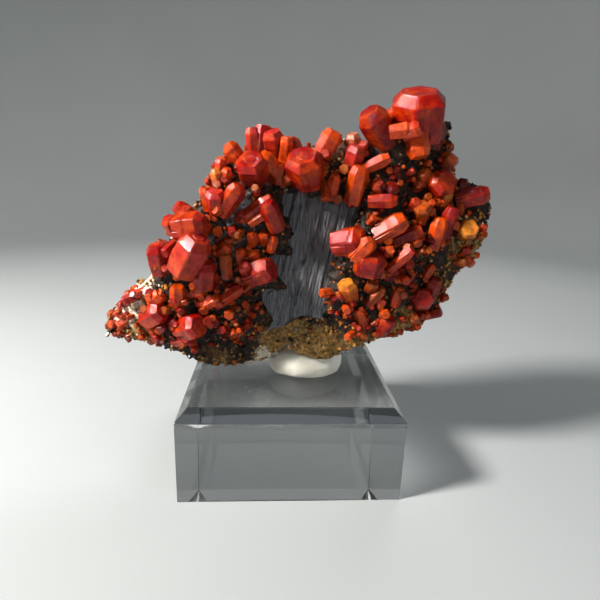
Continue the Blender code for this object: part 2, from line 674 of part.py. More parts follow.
def build():
    clear_scene()
    make_block()
    putty_object("mounting_putty", surface=material("white_putty", (0.85, 0.83, 0.76), 0.6))
    for name, ((tone, colour), crystals) in CLUSTERS.items():
        cluster_object(name, crystals, surface=material(tone, colour, 0.15))
    clusters = [crystals for _, crystals in CLUSTERS.values()]

    blade = blade_object()
    cut_by_clusters(blade, clusters)
    keep_largest_body(blade)

    rock = rock_object()
    add_druse(rock)
    apply_boolean(rock, blade_socket(), "DIFFERENCE")
    apply_boolean(rock, putty_object("putty_socket", grow=GAP), "DIFFERENCE")
    cut_by_clusters(rock, clusters)
    keep_largest_body(rock)


build()
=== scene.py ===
"""Looks for the vanadinite specimen: crystals, rock, grey blade, putty and clear block.

Metres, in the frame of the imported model. Lengths without MM are millimetres, in lists degrees too.
"""
import math
import random
from collections import namedtuple

import bmesh
import bpy
import numpy as np
from mathutils import Matrix, Vector, geometry, noise


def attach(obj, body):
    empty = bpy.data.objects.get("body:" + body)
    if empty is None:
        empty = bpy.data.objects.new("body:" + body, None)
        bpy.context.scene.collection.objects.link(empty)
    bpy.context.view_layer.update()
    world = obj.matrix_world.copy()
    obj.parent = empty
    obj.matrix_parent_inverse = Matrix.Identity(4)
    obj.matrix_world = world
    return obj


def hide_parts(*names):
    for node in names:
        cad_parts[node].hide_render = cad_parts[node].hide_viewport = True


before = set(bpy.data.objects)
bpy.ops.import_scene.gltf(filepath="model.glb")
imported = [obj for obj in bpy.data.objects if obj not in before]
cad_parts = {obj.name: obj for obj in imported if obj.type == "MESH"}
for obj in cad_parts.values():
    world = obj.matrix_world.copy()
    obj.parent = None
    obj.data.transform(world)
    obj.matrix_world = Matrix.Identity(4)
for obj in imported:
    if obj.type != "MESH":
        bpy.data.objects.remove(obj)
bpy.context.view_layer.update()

MM = 0.001

# Camera, fitted to the edges of the block
CAMERA_PLACE = Vector((-4.2, -90.88, 57.68)) * MM
CAMERA_YAW = math.radians(-3.84)
CAMERA_PITCH = math.radians(15.84)
CAMERA_ROLL = math.radians(1.98)
CAMERA_LENS = 28.08
SENSOR = 36
CAMERA_NEAR = 1 * MM
CAMERA_FAR = 10

# Block and putty
BLOCK_SIDE = 40 * MM
BLOCK_HEIGHT = 17.5 * MM
BLOCK_BEVEL = 2 * MM
BLOCK_EDGE = 0.12 * MM
PUTTY_CENTRE = Vector((3.4, -0.8, 19.4)) * MM
PUTTY_RADII = Vector((7.6, 5.8, 4.6)) * MM
PUTTY_FOOT = BLOCK_HEIGHT + 0.05 * MM

# Rock: its middle plane, its thickness and the evenness of its skin
MID_Y = -4.0
FOOT_Z = 20
LEAN = 0.08
SKIN = 0.8
BACK_DEPTH = 7.5
BACK_AT_RIM = 0.45
RIM_FADE = 6
RIM_ROUND = 1.1
ROUGH_HEIGHT = 1.2
ROUGH_SCALE = 6
ROOT_SHARE = 0.35
ROOT_REACH = 2.4
FREE_WEIGHT = 0.12
LAYER_GAP = 1000
ROCK_SEED = 5
ROCK_SPACING = 1.0
ROCK_JITTER = 0.3
ROCK_MARGIN = 1.6
ROCK_SPAN_X = (-38, 40)
ROCK_SPAN_Z = (18, 70)
WELD = 1e-7
CRAG_SIZE = 3.2
CRAG_HEIGHT = 0.26
CRAG_LIMIT = 1.5
GRIT_SIZE = 0.9
GRIT_HEIGHT = 0.22
NOISE_MIDDLE = 0.6
ROCK_VOXEL = 0.42 * MM
ROCK_OUTLINE = [
    (-35.5, 25), (-36, 27), (-35, 29.5), (-32.5, 31.5), (-29, 35.5), (-26.5, 37), (-24.5, 39.5),
    (-22.5, 44), (-20.5, 47.5), (-18, 50.5), (-15.5, 52.5), (-14.5, 55.5), (-12.5, 58.5), (-10, 60),
    (-6.5, 61), (-1.5, 61), (1.5, 61), (4.5, 62), (7.5, 63), (10.5, 62), (13.5, 62.5), (16, 64),
    (18, 66), (21, 67.5), (24, 67), (27, 67), (29.5, 66.5), (28, 64.7), (29.5, 63), (28.5, 60.5),
    (30, 58), (31, 55), (32.5, 56), (35.5, 55), (37, 53.5), (38, 51.5), (37, 49.5), (36.5, 46),
    (35, 43), (33, 40), (31, 38), (30, 35.5), (28.5, 33), (27, 30.5), (24, 28.3), (20.5, 28),
    (18.5, 26.3), (16, 25.5), (13.5, 24), (10.5, 22.5), (8, 20.6), (4.5, 20.6), (2.5, 21.5),
    (0, 22.5), (-3, 22.3), (-5, 20.5), (-8.5, 20), (-12.5, 19.5), (-16, 20), (-19, 21.5),
    (-21.5, 22.5), (-24.5, 23.5), (-27.5, 25), (-31.5, 24.5),
]
Swelling = namedtuple("Swelling", "x z spread height")
SWELLINGS = [
    Swelling(-20, 44, 9, 5.5),
    Swelling(-12, 56, 8, 3.5),
    Swelling(-22, 31, 8, 2.0),
    Swelling(-5, 30, 8, 1.5),
    Swelling(4, 48, 10, 2.5),
    Swelling(8, 24, 7, 1.0),
    Swelling(17, 44, 8, 4.5),
    Swelling(18, 32, 8, 2.5),
    Swelling(28, 50, 7, 2.5),
    Swelling(10, 60, 7, 2.0),
    Swelling(23.5, 59, 3.5, -4.0),
    Swelling(22, 66, 6, 1.5),
]

# Grey blade
BLADE_FACE_Y = -7.0
BLADE_FACE_Z = 42
BLADE_THICKNESS = 2.4
BLADE_TILT = math.radians(11)
BLADE_STEP_ACROSS = 0.16
BLADE_STEP_ALONG = 0.9
BLADE_SPAN_ACROSS = (-22, 10)
BLADE_SPAN_ALONG = (22, 58)
BLADE_MARGIN = 0.12
BLADE_SET_BACK = 0.1
BROAD_GROOVE = 0.45
FINE_GROOVE = 0.22
CHIP_DEPTH = 0.5
CHIP_START = 0.25
BLADE_OUTLINE = [
    (-3, 52), (-2, 53.5), (1.5, 54), (2.5, 53), (5, 53.5), (5.5, 52), (9, 52.3), (12, 51.5),
    (11, 47.5), (8, 42.5), (7, 39.5), (7, 35), (5.5, 30.5), (1.5, 31), (-1.5, 29), (-4.5, 28),
    (-3.5, 30), (-5.5, 33.5), (-6, 36), (-1, 36), (-4, 40), (-5.5, 41.5), (-4, 42.5), (-0.5, 42.5),
    (-1.5, 45), (0, 46), (-2, 48.5),
]

# Form of a crystal: shares of its width, side or length, and the radii from which it has more detail
SIDES = 6
RING = 2 * SIDES
CHAMFERS = (0.045, 0.08)
SIDE_WIDTHS = (0.94, 1.05)
STEP_RISE = 0.008
TIP_RISES = (-0.012, 0.012, 0.018)
TWO_STEPS_FROM = 1.8
SIDE_CRYSTALS_FROM = 1.5
THREE_SIDE_CRYSTALS_FROM = 2.4
FACE_SHIFT = 0.37

# Tones of the crystals: colour at the root and at the tip
SHADES = (0.85, 1.15)
TONE_CURVE = 1.5
TONES = {
    "red": ((0.46, 0.024, 0.003), (0.46, 0.010, 0.005)),
    "crimson": ((0.30, 0.010, 0.003), (0.34, 0.007, 0.008)),
    "orange": ((0.66, 0.07, 0.002), (0.88, 0.12, 0.004)),
    "amber": ((0.34, 0.05, 0.006), (0.62, 0.16, 0.015)),
    # Near-black red: painted shade, for crystals that lie in shade
    "shaded": ((0.07, 0.006, 0.004), (0.20, 0.012, 0.008)),
    # Dim red with a bluish tip: painted shade with a painted purplish reflection
    "shaded_purple_sheen": ((0.16, 0.008, 0.012), (0.34, 0.02, 0.035)),
    # Red whose tip turns pink: a painted pinkish sheen
    "pink_sheen": ((0.52, 0.03, 0.005), (0.62, 0.045, 0.035)),
    "yellow": ((0.50, 0.12, 0.01), (0.85, 0.36, 0.04)),
    "pale": ((0.62, 0.16, 0.06), (0.85, 0.42, 0.26)),
}
Crystal = namedtuple("Crystal", "x y z radius length lean lift spin tone")
SLOT_OF_TONE = {
    "red": "red_vanadinite", "crimson": "red_vanadinite", "pink_sheen": "red_vanadinite",
    "orange": "orange_vanadinite", "pale": "orange_vanadinite",
    "amber": "amber_vanadinite", "yellow": "amber_vanadinite",
    # Crystals in painted shade, near-black or purplish, share one material
    "shaded": "dark_vanadinite", "shaded_purple_sheen": "dark_vanadinite",
}

CLUSTERS = {
    "crown_crystals": [
        Crystal(21, -5, 67, 5.2, 8, -8, 22, 30, "red"),
        Crystal(17, -9.5, 64, 1.5, 3.6, 80, 15, 0, "orange"),
        Crystal(19, -10, 64, 1.6, 3.2, 60, 40, 0, "pink_sheen"),
        Crystal(20.5, -8, 62.5, 2.1, 5.4, 168, 15, 0, "orange"),
        Crystal(14, -6, 64.5, 2.9, 7.2, -40, 22, 0, "crimson"),
        # Dim purplish tone: painted shade with a painted purplish reflection
        Crystal(16.5, -3.5, 65.5, 1.7, 5, 15, 5, 0, "shaded_purple_sheen"),
        # Near-black red: painted shade
        Crystal(25.3, -2, 64, 2.2, 4.6, 8, 10, 0, "shaded"),
    ],
    "shoulder_crystal": [Crystal(28.3, -1.8, 59.5, 1.8, 3.4, 30, 20, 0, "amber")],
    "round_hexagon_crystals": [
        Crystal(26.5, -5, 55.5, 2.7, 4.6, 20, 70, 10, "red"),
        Crystal(23, -3.5, 56, 1.8, 5, 35, 12, 0, "amber"),
        Crystal(27.5, -5.5, 53, 1.1, 3, 20, 20, 0, "yellow"),
    ],
    "nose_crystals": [
        Crystal(32.5, -5, 53.5, 2, 6, 72, 15, 0, "crimson"),
        # Near-black red: painted shade
        Crystal(31, -3.5, 55, 1.1, 3.4, 5, 5, 0, "shaded"),
    ],
    "rough_yellow_crystal": [Crystal(31.5, -7, 47.5, 2.1, 3.6, 0, 65, 0, "yellow")],
    "tall_pair_crystals": [
        Crystal(27.5, -7.5, 48.5, 1.6, 6.4, 12, 12, 0, "crimson"),
        Crystal(25.5, -8.5, 47, 1.6, 5.8, 5, 12, 30, "orange"),
    ],
    "ribbed_crystal": [Crystal(22.5, -8, 50.5, 1.7, 3.8, -10, 35, 0, "amber")],
    # The two near-black crystals here carry painted shade
    "dark_pair_crystals": [
        Crystal(14.3, -8, 54.5, 1.4, 3.2, -20, 40, 0, "shaded"),
        Crystal(16.5, -7.5, 54, 1.6, 3.4, 15, 45, 0, "shaded"),
        Crystal(15, -9, 52.5, 1.4, 5, 86, 10, 0, "red"),
    ],
    # Near-black red: painted shade on a crystal that lies in its neighbours' shade
    "hidden_crystal": [Crystal(17, -5.5, 57, 1.6, 3.4, 80, 20, 0, "shaded")],
    "pointed_crystals": [
        Crystal(16.5, -10, 48, 2.1, 6.2, 55, 15, 0, "orange"),
        Crystal(20, -9.5, 46.5, 1.6, 5.4, 62, 15, 30, "crimson"),
    ],
    "slim_crystal": [Crystal(18.5, -11.5, 42.7, 1.2, 5.4, 40, 18, 0, "pink_sheen")],
    "right_barrel_crystals": [
        Crystal(9.5, -10.5, 45.5, 2.9, 5.4, 75, 30, 0, "red"),
        Crystal(11.5, -12.5, 44.5, 1.7, 4.6, 35, 25, 0, "orange"),
        Crystal(13, -11.5, 42, 2.9, 4, 5, 15, 30, "crimson"),
    ],
    # Dim purplish tone: painted shade with a painted purplish reflection
    "purple_bar_crystal": [Crystal(18.5, -9.5, 39, 1.1, 4.2, 97, 10, 0, "shaded_purple_sheen")],
    "yellow_barrel_crystal": [Crystal(10, -9.5, 36.5, 1.9, 4.6, -20, 30, 0, "yellow")],
    "amber_crystals": [
        Crystal(14, -10, 37.5, 1.2, 2.6, 20, 40, 0, "amber"),
        Crystal(15, -9.5, 35.5, 1.3, 4.4, 35, 15, 0, "amber"),
    ],
    "amber_prism": [Crystal(19, -9.5, 35.5, 1.2, 4, 12, 15, 0, "orange")],
    "edge_crystals": [
        Crystal(25, -8, 40, 1, 3, 20, 15, 0, "orange"),
        Crystal(26, -7.5, 36.5, 1.6, 4.8, 10, 20, 0, "crimson"),
        Crystal(24, -8.5, 34.5, 2.2, 3.8, -10, 60, 0, "pink_sheen"),
    ],
    "slanting_crystal": [Crystal(13, -8.5, 31, 1.3, 4.4, -28, 15, 0, "orange")],
    "lower_dark_crystal": [Crystal(17.5, -9, 30, 1.8, 3.8, 20, 30, 0, "crimson")],
    "peak_crystals": [
        Crystal(-7.5, -4.5, 61.5, 1.4, 5, -6, 5, 0, "pink_sheen"),
        Crystal(-6, -4, 61.5, 1.8, 6, 5, 5, 30, "red"),
        Crystal(-4, -4.5, 61.5, 2.1, 4.6, -10, 25, 0, "pink_sheen"),
        Crystal(-2, -5.5, 60.5, 1.4, 4.4, 5, 15, 30, "orange"),
        Crystal(-0.5, -4, 60.5, 1.8, 4.2, -30, 15, 0, "crimson"),
    ],
    "red_hexagon_crystal": [Crystal(1.5, -8.5, 57.5, 3.5, 5.6, -15, 38, 30, "red")],
    "orange_slab_crystal": [Crystal(5.5, -5, 61.5, 2, 5.4, 25, 12, 0, "orange")],
    "small_prism_crystal": [Crystal(6.5, -7.5, 54.5, 1.2, 4.6, 5, 20, 0, "orange")],
    "upright_crystals": [
        Crystal(10.5, -8, 55, 1.8, 6.6, 8, 15, 30, "orange"),
        Crystal(10, -6.5, 59.5, 1.9, 4.4, 10, 20, 0, "pink_sheen"),
        Crystal(13.5, -7.5, 58.5, 1.3, 5.6, 62, 15, 0, "orange"),
        Crystal(10, -5, 62, 1.5, 3.4, -10, 15, 0, "pale"),
        Crystal(11.5, -4.5, 61, 1.3, 3.2, -20, 10, 0, "pale"),
    ],
    "upper_left_crystals": [
        Crystal(-7.5, -8.5, 57, 2.9, 5, -10, 45, 0, "red"),
        Crystal(-10.5, -6.5, 59.5, 1.5, 4.2, -38, 15, 0, "orange"),
        Crystal(-4.5, -8, 58, 1.6, 4.6, -45, 20, 0, "orange"),
        Crystal(-3, -7.5, 56.5, 1.1, 3.6, 5, 20, 0, "orange"),
    ],
    "rim_prism_crystals": [
        Crystal(-13, -6.5, 57, 1.2, 3.2, 5, 10, 0, "pink_sheen"),
        Crystal(-12, -7.5, 55.7, 1.1, 3, 10, 15, 0, "orange"),
        Crystal(-13.5, -7.5, 55.5, 1.2, 3, -10, 15, 0, "yellow"),
    ],
    "flash_prism_crystals": [
        Crystal(-11, -10.5, 52, 1.7, 6, 35, 20, 0, "red"),
        Crystal(-13.5, -10, 51.7, 1.9, 4, 0, 25, 0, "pink_sheen"),
        Crystal(-15, -9.5, 52, 1.2, 4, -5, 10, 0, "orange"),
    ],
    "long_bar_crystals": [
        Crystal(-7, -9.5, 50.5, 1.3, 7.2, 53, 10, 0, "red"),
        Crystal(-4, -10.5, 49.5, 1.7, 5.4, -25, 20, 0, "crimson"),
        Crystal(-6.5, -10, 49, 1, 3.4, 55, 10, 0, "orange"),
    ],
    "orange_crumb_crystals": [
        Crystal(-7.5, -8.5, 45.5, 1.2, 2.8, -10, 30, 0, "orange"),
        Crystal(-5.5, -8.5, 45.5, 1.1, 2.8, 10, 40, 0, "orange"),
        Crystal(-4, -8.5, 44.5, 1, 3.2, 12, 15, 0, "orange"),
    ],
    # The pink tone of some of these crystals is a painted pinkish sheen on red
    "pink_crystals": [
        Crystal(-19, -9, 49.8, 1.5, 3.4, -50, 20, 0, "red"),
        Crystal(-18, -10, 49, 1.7, 3.8, -45, 20, 0, "pink_sheen"),
        Crystal(-17.5, -11.5, 47.5, 2.7, 5.4, 82, 15, 30, "red"),
        Crystal(-21, -10, 47.5, 1.6, 3.2, -20, 25, 0, "red"),
        Crystal(-17.5, -13, 43, 3.2, 7.4, 27, 18, 30, "pink_sheen"),
        Crystal(-15.5, -11.5, 39.5, 2.2, 5, 8, 20, 0, "red"),
    ],
    "left_edge_crystal": [Crystal(-23.5, -9.5, 41.5, 2.1, 5.4, -4, 15, 0, "red")],
    "brown_crystals": [
        Crystal(-12, -9.5, 40.5, 1.3, 4.6, -5, 15, 0, "amber"),
        Crystal(-12.5, -9.5, 43.5, 1.3, 3, 50, 20, 0, "orange"),
    ],
    "red_cluster_crystals": [
        Crystal(-6, -9.5, 39.5, 2.6, 5.2, 62, 28, 0, "red"),
        Crystal(-8.5, -10, 40, 1.3, 3, -20, 40, 0, "pink_sheen"),
        Crystal(-9.5, -8.5, 42, 1.1, 3.4, -5, 20, 0, "orange"),
        Crystal(-8, -8, 42, 1.2, 3.8, 65, 20, 0, "orange"),
    ],
    "lower_bar_crystals": [
        Crystal(-11.5, -9.5, 35, 1.3, 6.2, 52, 10, 0, "red"),
        Crystal(-14.5, -9.5, 34, 1.2, 3.2, 55, 15, 0, "orange"),
        Crystal(-16.5, -9, 35, 1.1, 3.4, -35, 15, 0, "orange"),
    ],
    "lower_hexagon_crystal": [Crystal(-20.5, -9.5, 35, 1.5, 4.2, 5, 20, 0, "orange")],
    "white_flash_crystals": [
        Crystal(-25, -8.5, 31, 2.3, 5, 55, 28, 0, "red"),
        Crystal(-24.5, -8.5, 34, 1.5, 3.2, 40, 20, 0, "orange"),
        Crystal(-25.5, -7.5, 28, 1.4, 3.6, -15, 20, 0, "orange"),
    ],
    "lower_red_crystals": [
        Crystal(-18.5, -9.5, 29, 2.6, 5.2, 65, 38, 0, "red"),
        Crystal(-20.5, -8, 26, 1.4, 3.6, 70, 25, 0, "pink_sheen"),
        Crystal(-18.5, -8, 25.5, 1, 2.8, 10, 60, 0, "pink_sheen"),
    ],
    "back_left_crystals": [
        Crystal(-17, 6.5, 42, 1.9, 5, -30, -50, 0, "red"),
        Crystal(-14.5, 6.5, 41, 1.4, 4, 40, -40, 0, "orange"),
    ],
    "back_top_crystal": [Crystal(2, 6.5, 56, 1.7, 4.6, 10, -45, 0, "orange")],
    "back_right_crystals": [
        Crystal(24, 7, 50, 2.1, 5, 25, -50, 0, "red"),
        Crystal(22, 7, 47.5, 1.5, 4.2, -50, -35, 0, "orange"),
    ],
    "back_low_crystal": [Crystal(13, 5.5, 33, 1.6, 4.2, 20, -55, 0, "amber")],
}

# Tones of the rock, on its front and on its back
Patch = namedtuple("Patch", "x z radius strength")
PATCHES = {
    "cream": [
        Patch(-29, 34, 3.2, 1.0), Patch(-32, 31, 2.6, 1.0), Patch(-26.5, 36, 2.0, 0.8),
        Patch(-34.5, 28.5, 1.6, 0.6), Patch(7.5, 62.5, 2.0, 0.8), Patch(-5.5, 22.5, 1.8, 0.8),
        Patch(33.5, 41, 1.6, 0.5),
    ],
    "sand": [
        Patch(-1, 25.5, 5.0, 0.9), Patch(6, 23.5, 5.0, 0.9), Patch(-14, 22, 4.0, 0.55),
        Patch(-28, 27, 4.0, 0.6), Patch(22, 29.5, 4.5, 0.7), Patch(33, 44, 4.5, 0.7),
        Patch(29, 36, 3.5, 0.6), Patch(7, 61.5, 3.0, 0.7), Patch(13, 25, 4.0, 0.7),
        Patch(-17, 54, 3.0, 0.4), Patch(35, 51, 2.5, 0.4),
    ],
    "grey": [
        Patch(-13, 44.5, 3.0, 0.8), Patch(-9.5, 50.5, 3.0, 0.7), Patch(-20.5, 28, 2.5, 0.5),
        Patch(24, 60, 2.5, 0.3), Patch(0, 23.5, 2.0, 0.5), Patch(-14, 38, 3.0, 0.4),
    ],
}
BACK_PATCHES = {
    "cream": [Patch(-20, 33, 5, 0.6), Patch(18, 55, 4, 0.5)],
    "sand": [Patch(-5, 35, 14, 0.55), Patch(20, 42, 9, 0.6), Patch(-22, 30, 8, 0.6), Patch(5, 55, 8, 0.5)],
    "grey": [Patch(8, 45, 8, 0.45), Patch(-12, 50, 5, 0.5)],
}

# Druse and small crystals
DRUSE_SEED = 11
DRUSE_COUNT = 7500
SMALL_SEED = 23
SMALL_TRIES = 30000
SMALL_AT_BACK = 70
CLEAR_OF_PUTTY = 7.5
PRISM_RINGS = ((-0.4, 0.92), (0.52, 1.0), (0.6, 0.78))
BROWN_FROM = 0.45
AMBER_FROM = 0.8
PATCH_FILL = 0.75
FIRST_OF_PAIR = 0.6
DRUSE_PAIRS = {"sand": ("tan", "gold"), "grey": ("grey", "black"), "cream": ("cream", "tan")}
DRUSE_TONES = {
    "black": (0.02, 0.016, 0.014), "brown": (0.10, 0.045, 0.02), "tan": (0.42, 0.24, 0.09),
    "gold": (0.50, 0.26, 0.05), "cream": (0.72, 0.64, 0.50), "grey": (0.22, 0.22, 0.23),
    "orange": (0.78, 0.12, 0.01), "red": (0.50, 0.025, 0.012), "amber": (0.50, 0.13, 0.015),
}
Field = namedtuple("Field", "x z radius count")
SMALL_FIELDS = [
    Field(-26, 30, 6, 60), Field(-17, 30, 6, 60), Field(-10, 30, 5, 50), Field(-13, 36, 5, 40),
    Field(-12, 45, 5, 36), Field(-14, 56, 4, 24), Field(-4, 57, 6, 30), Field(9, 57, 5, 30),
    Field(18, 52, 6, 40), Field(27, 50, 6, 36), Field(20, 42, 6, 40), Field(24, 35, 5, 40),
    Field(14, 31, 5, 40), Field(8, 34, 3, 16), Field(32, 45, 4, 24), Field(-20, 45, 6, 30),
    Field(26, 61, 4, 14), Field(-32, 28, 3, 16), Field(22, 29, 4, 20),
]

# Floor, lights and tone curve
FLOOR_REACH = 300 * MM
FLOOR_CURVE = 150 * MM
FLOOR_STEPS = 8
FLOOR_GAP = 0.02 * MM
WALL_TOP = 700 * MM
Lamp = namedtuple("Lamp", "name place size power colour shines")
LAMPS = [
    Lamp("key", (-230, -90, 220), 60, 2.4, (1.0, 0.96, 0.90), True),
    Lamp("fill", (200, -220, 120), 160, 0.2, (0.92, 0.96, 1.0), False),
    Lamp("rim", (120, 200, 260), 140, 0.4, (1.0, 0.98, 0.96), False),
]
LIGHT_TARGET = (0, -5, 42)
SKY_COLOUR = (0.82, 0.88, 0.92, 1)
SKY_STRENGTH = 0.19
EXPOSURE = 0.12
GAMMA = 0.84


def make_camera():
    """Camera at the photograph's viewing angle."""
    flat_right = Vector((math.cos(CAMERA_YAW), math.sin(CAMERA_YAW), 0))
    flat_ahead = Vector((-math.sin(CAMERA_YAW), math.cos(CAMERA_YAW), 0))
    up = Vector((0, 0, 1))
    ahead = flat_ahead * math.cos(CAMERA_PITCH) - up * math.sin(CAMERA_PITCH)
    level = flat_ahead * math.sin(CAMERA_PITCH) + up * math.cos(CAMERA_PITCH)
    right = flat_right * math.cos(CAMERA_ROLL) + level * math.sin(CAMERA_ROLL)
    top = level * math.cos(CAMERA_ROLL) - flat_right * math.sin(CAMERA_ROLL)
    data = bpy.data.cameras.new("camera")
    data.lens = CAMERA_LENS
    data.sensor_width = SENSOR
    data.clip_start = CAMERA_NEAR
    data.clip_end = CAMERA_FAR
    camera = bpy.data.objects.new("camera", data)
    placed = Matrix((right, top, -ahead)).transposed().to_4x4()
    placed.translation = CAMERA_PLACE
    camera.matrix_world = placed
    bpy.context.collection.objects.link(camera)
    bpy.context.scene.camera = camera


class Nodes:
    """Short hand for a material's node tree."""

    def __init__(self, name):
        self.material = bpy.data.materials.new(name)
        self.material.use_nodes = True
        self.tree = self.material.node_tree
        self.shader = self.tree.nodes["Principled BSDF"]

    def add(self, kind, inputs=None, **settings):
        node = self.tree.nodes.new("ShaderNode" + kind)
        for key, value in settings.items():
            setattr(node, key, value)
        for key, value in (inputs or {}).items():
            self.put(node.inputs[key], value)
        return node

    def put(self, socket, value):
        """Link a socket, or give it a fixed value."""
        if isinstance(value, bpy.types.NodeSocket):
            self.tree.links.new(value, socket)
        else:
            socket.default_value = value

    def set(self, **values):
        """Inputs of the shader, with _ for each space in a name."""
        for key, value in values.items():
            self.put(self.shader.inputs[key.replace("_", " ")], value)

    def noise(self, scale, detail=4.0, roughness=0.6, vector=None):
        inputs = {"Scale": scale, "Detail": detail, "Roughness": roughness}
        inputs["Vector"] = vector or self.place()
        return self.add("TexNoise", inputs).outputs["Fac"]

    def place(self):
        return self.add("TexCoord").outputs["Object"]

    def stretched(self, vector, scale, turn=0.0):
        """Coordinates scaled along each axis and turned about Y."""
        inputs = {"Vector": vector, "Rotation": (0, turn, 0), "Scale": scale}
        return self.add("Mapping", inputs).outputs["Vector"]

    def ramp(self, value, low, high, out_low=0.0, out_high=1.0):
        inputs = {"Value": value, "From Min": low, "From Max": high, "To Min": out_low, "To Max": out_high}
        return self.add("MapRange", inputs).outputs["Result"]

    def mix(self, share, first, second, blend="MIX"):
        """Colour mix. Its colours go in at sockets 6 and 7 and come out at 2."""
        node = self.add("Mix", data_type="RGBA", blend_type=blend)
        for socket, value in zip((node.inputs[0], node.inputs[6], node.inputs[7]), (share, first, second)):
            self.put(socket, value)
        return node.outputs[2]

    def math(self, kind, first, second=0.5):
        return self.add("Math", {0: first, 1: second}, operation=kind).outputs[0]

    def bump(self, height, distance, strength=1.0, normal=None):
        inputs = {"Height": height, "Distance": distance, "Strength": strength}
        if normal:
            inputs["Normal"] = normal
        return self.add("Bump", inputs).outputs["Normal"]

    def attribute(self, name, output="Color"):
        return self.add("Attribute", attribute_name=name).outputs[output]


def crystal_material(name, clear, rough):
    """Translucent, glossy crystal with growth lines. Its tone comes from the mesh; some tones hold painted
    shade and a painted sheen.
    """
    n = Nodes(name)
    tone = n.attribute("tone")
    cloud = n.ramp(n.noise(300, 5.0), 0.44, 0.62)
    warm = n.mix(n.math("MULTIPLY", cloud, 0.5), tone, (0.90, 0.15, 0.004, 1))
    grain = n.ramp(n.noise(900, 5.0), 0.42, 0.66)
    colour = n.mix(n.math("MULTIPLY", grain, 0.55), warm, (0.13, 0.004, 0.001, 1))
    growth = n.stretched(n.add("UVMap").outputs["UV"], (34, 1.2, 1))
    lines = n.noise(9.0, 5.0, vector=growth)
    ledges = n.stretched(n.add("UVMap").outputs["UV"], (0.8, 16, 1))
    steps = n.noise(5.0, 3.0, vector=ledges)
    normal = n.bump(lines, 0.09 * MM, 0.7)
    normal = n.bump(steps, 0.06 * MM, 0.4, normal)
    normal = n.bump(n.noise(2600, 3.0), 0.02 * MM, 0.5, normal)
    n.set(
        Base_Color=colour,
        Roughness=n.ramp(n.noise(700, 4.0), 0.3, 0.75, rough, rough + 0.15),
        Specular_Tint=(1.0, 0.74, 0.84, 1),
        IOR=1.6,
        Transmission_Weight=clear,
        Subsurface_Weight=0.18,
        Subsurface_Radius=(1.0, 0.16, 0.03),
        Subsurface_Scale=1.2 * MM,
        Coat_Weight=0.1,
        Coat_Roughness=0.15,
        Normal=normal,
    )
    return n.material


def rock_material():
    """Black-brown rock with tan, cream and grey parts that the mesh marks."""
    n = Nodes("dark_matrix_detail")
    black = n.mix(n.ramp(n.noise(900, 6.0), 0.35, 0.7), (0.007, 0.006, 0.006, 1), (0.045, 0.03, 0.022, 1))
    rust = n.mix(n.ramp(n.noise(500, 5.0), 0.52, 0.7, 0, 0.7), black, (0.16, 0.06, 0.018, 1))
    sand = n.mix(n.ramp(n.noise(1600, 5.0), 0.35, 0.65), (0.10, 0.05, 0.014, 1), (0.46, 0.29, 0.10, 1))
    cream = n.mix(n.ramp(n.noise(1300, 5.0), 0.3, 0.7), (0.42, 0.36, 0.28, 1), (0.78, 0.72, 0.62, 1))
    grey = n.mix(n.ramp(n.noise(1500, 5.0), 0.3, 0.7), (0.09, 0.09, 0.095, 1), (0.33, 0.33, 0.34, 1))
    edge = n.noise(650, 6.0, 0.7)
    colour = rust
    for name, part in (("sand", sand), ("grey", grey), ("cream", cream)):
        weight = n.math("ADD", n.attribute(name, "Fac"), n.math("SUBTRACT", edge, 0.5))
        colour = n.mix(n.ramp(weight, 0.42, 0.62), colour, part)
    normal = n.bump(n.noise(1500, 6.0, 0.7), 0.35 * MM, 0.8)
    normal = n.bump(n.noise(5200, 4.0, 0.7), 0.08 * MM, 0.7, normal)
    n.set(Base_Color=colour, Roughness=n.ramp(n.noise(1100, 4.0), 0.3, 0.7, 0.38, 0.85), Normal=normal)
    return n.material


def druse_material():
    """Tiny sparkling crystals whose tone comes from the mesh."""
    n = Nodes("druse_detail")
    speck = n.ramp(n.noise(2600, 4.0), 0.3, 0.75, 0.55, 1.25)
    grey = n.add("CombineColor", {0: speck, 1: speck, 2: speck}).outputs[0]
    colour = n.mix(1.0, n.attribute("tone"), grey, "MULTIPLY")
    n.set(
        Base_Color=colour,
        Roughness=n.ramp(n.noise(1800, 3.0), 0.3, 0.7, 0.18, 0.5),
        Subsurface_Weight=0.15,
        Subsurface_Radius=(1.0, 0.5, 0.25),
        Subsurface_Scale=0.4 * MM,
        Normal=n.bump(n.noise(6000, 3.0), 0.03 * MM, 0.6),
    )
    return n.material


def blade_material():
    """Grey, half metallic mineral with fine lines along its length."""
    n = Nodes("grey_blade_detail")
    lines = n.noise(3800, 6.0, 0.75, n.stretched(n.place(), (1, 1, 0.045), -BLADE_TILT))
    bands = n.noise(600, 4.0, 0.6, n.stretched(n.place(), (1, 1, 0.14), -BLADE_TILT))
    grey = n.mix(n.ramp(lines, 0.36, 0.64), (0.018, 0.018, 0.021, 1), (0.27, 0.275, 0.29, 1))
    grey = n.mix(n.ramp(bands, 0.35, 0.7, 0, 0.6), grey, (0.16, 0.165, 0.18, 1))
    dust = n.ramp(n.noise(1500, 6.0, 0.7), 0.6, 0.72, 0, 0.5)
    colour = n.mix(dust, grey, (0.11, 0.07, 0.045, 1))
    normal = n.bump(lines, 0.12 * MM, 0.8)
    normal = n.bump(bands, 0.2 * MM, 0.5, normal)
    n.set(
        Base_Color=colour,
        Metallic=0.45,
        Roughness=n.ramp(lines, 0.3, 0.7, 0.30, 0.55),
        Normal=normal,
    )
    return n.material


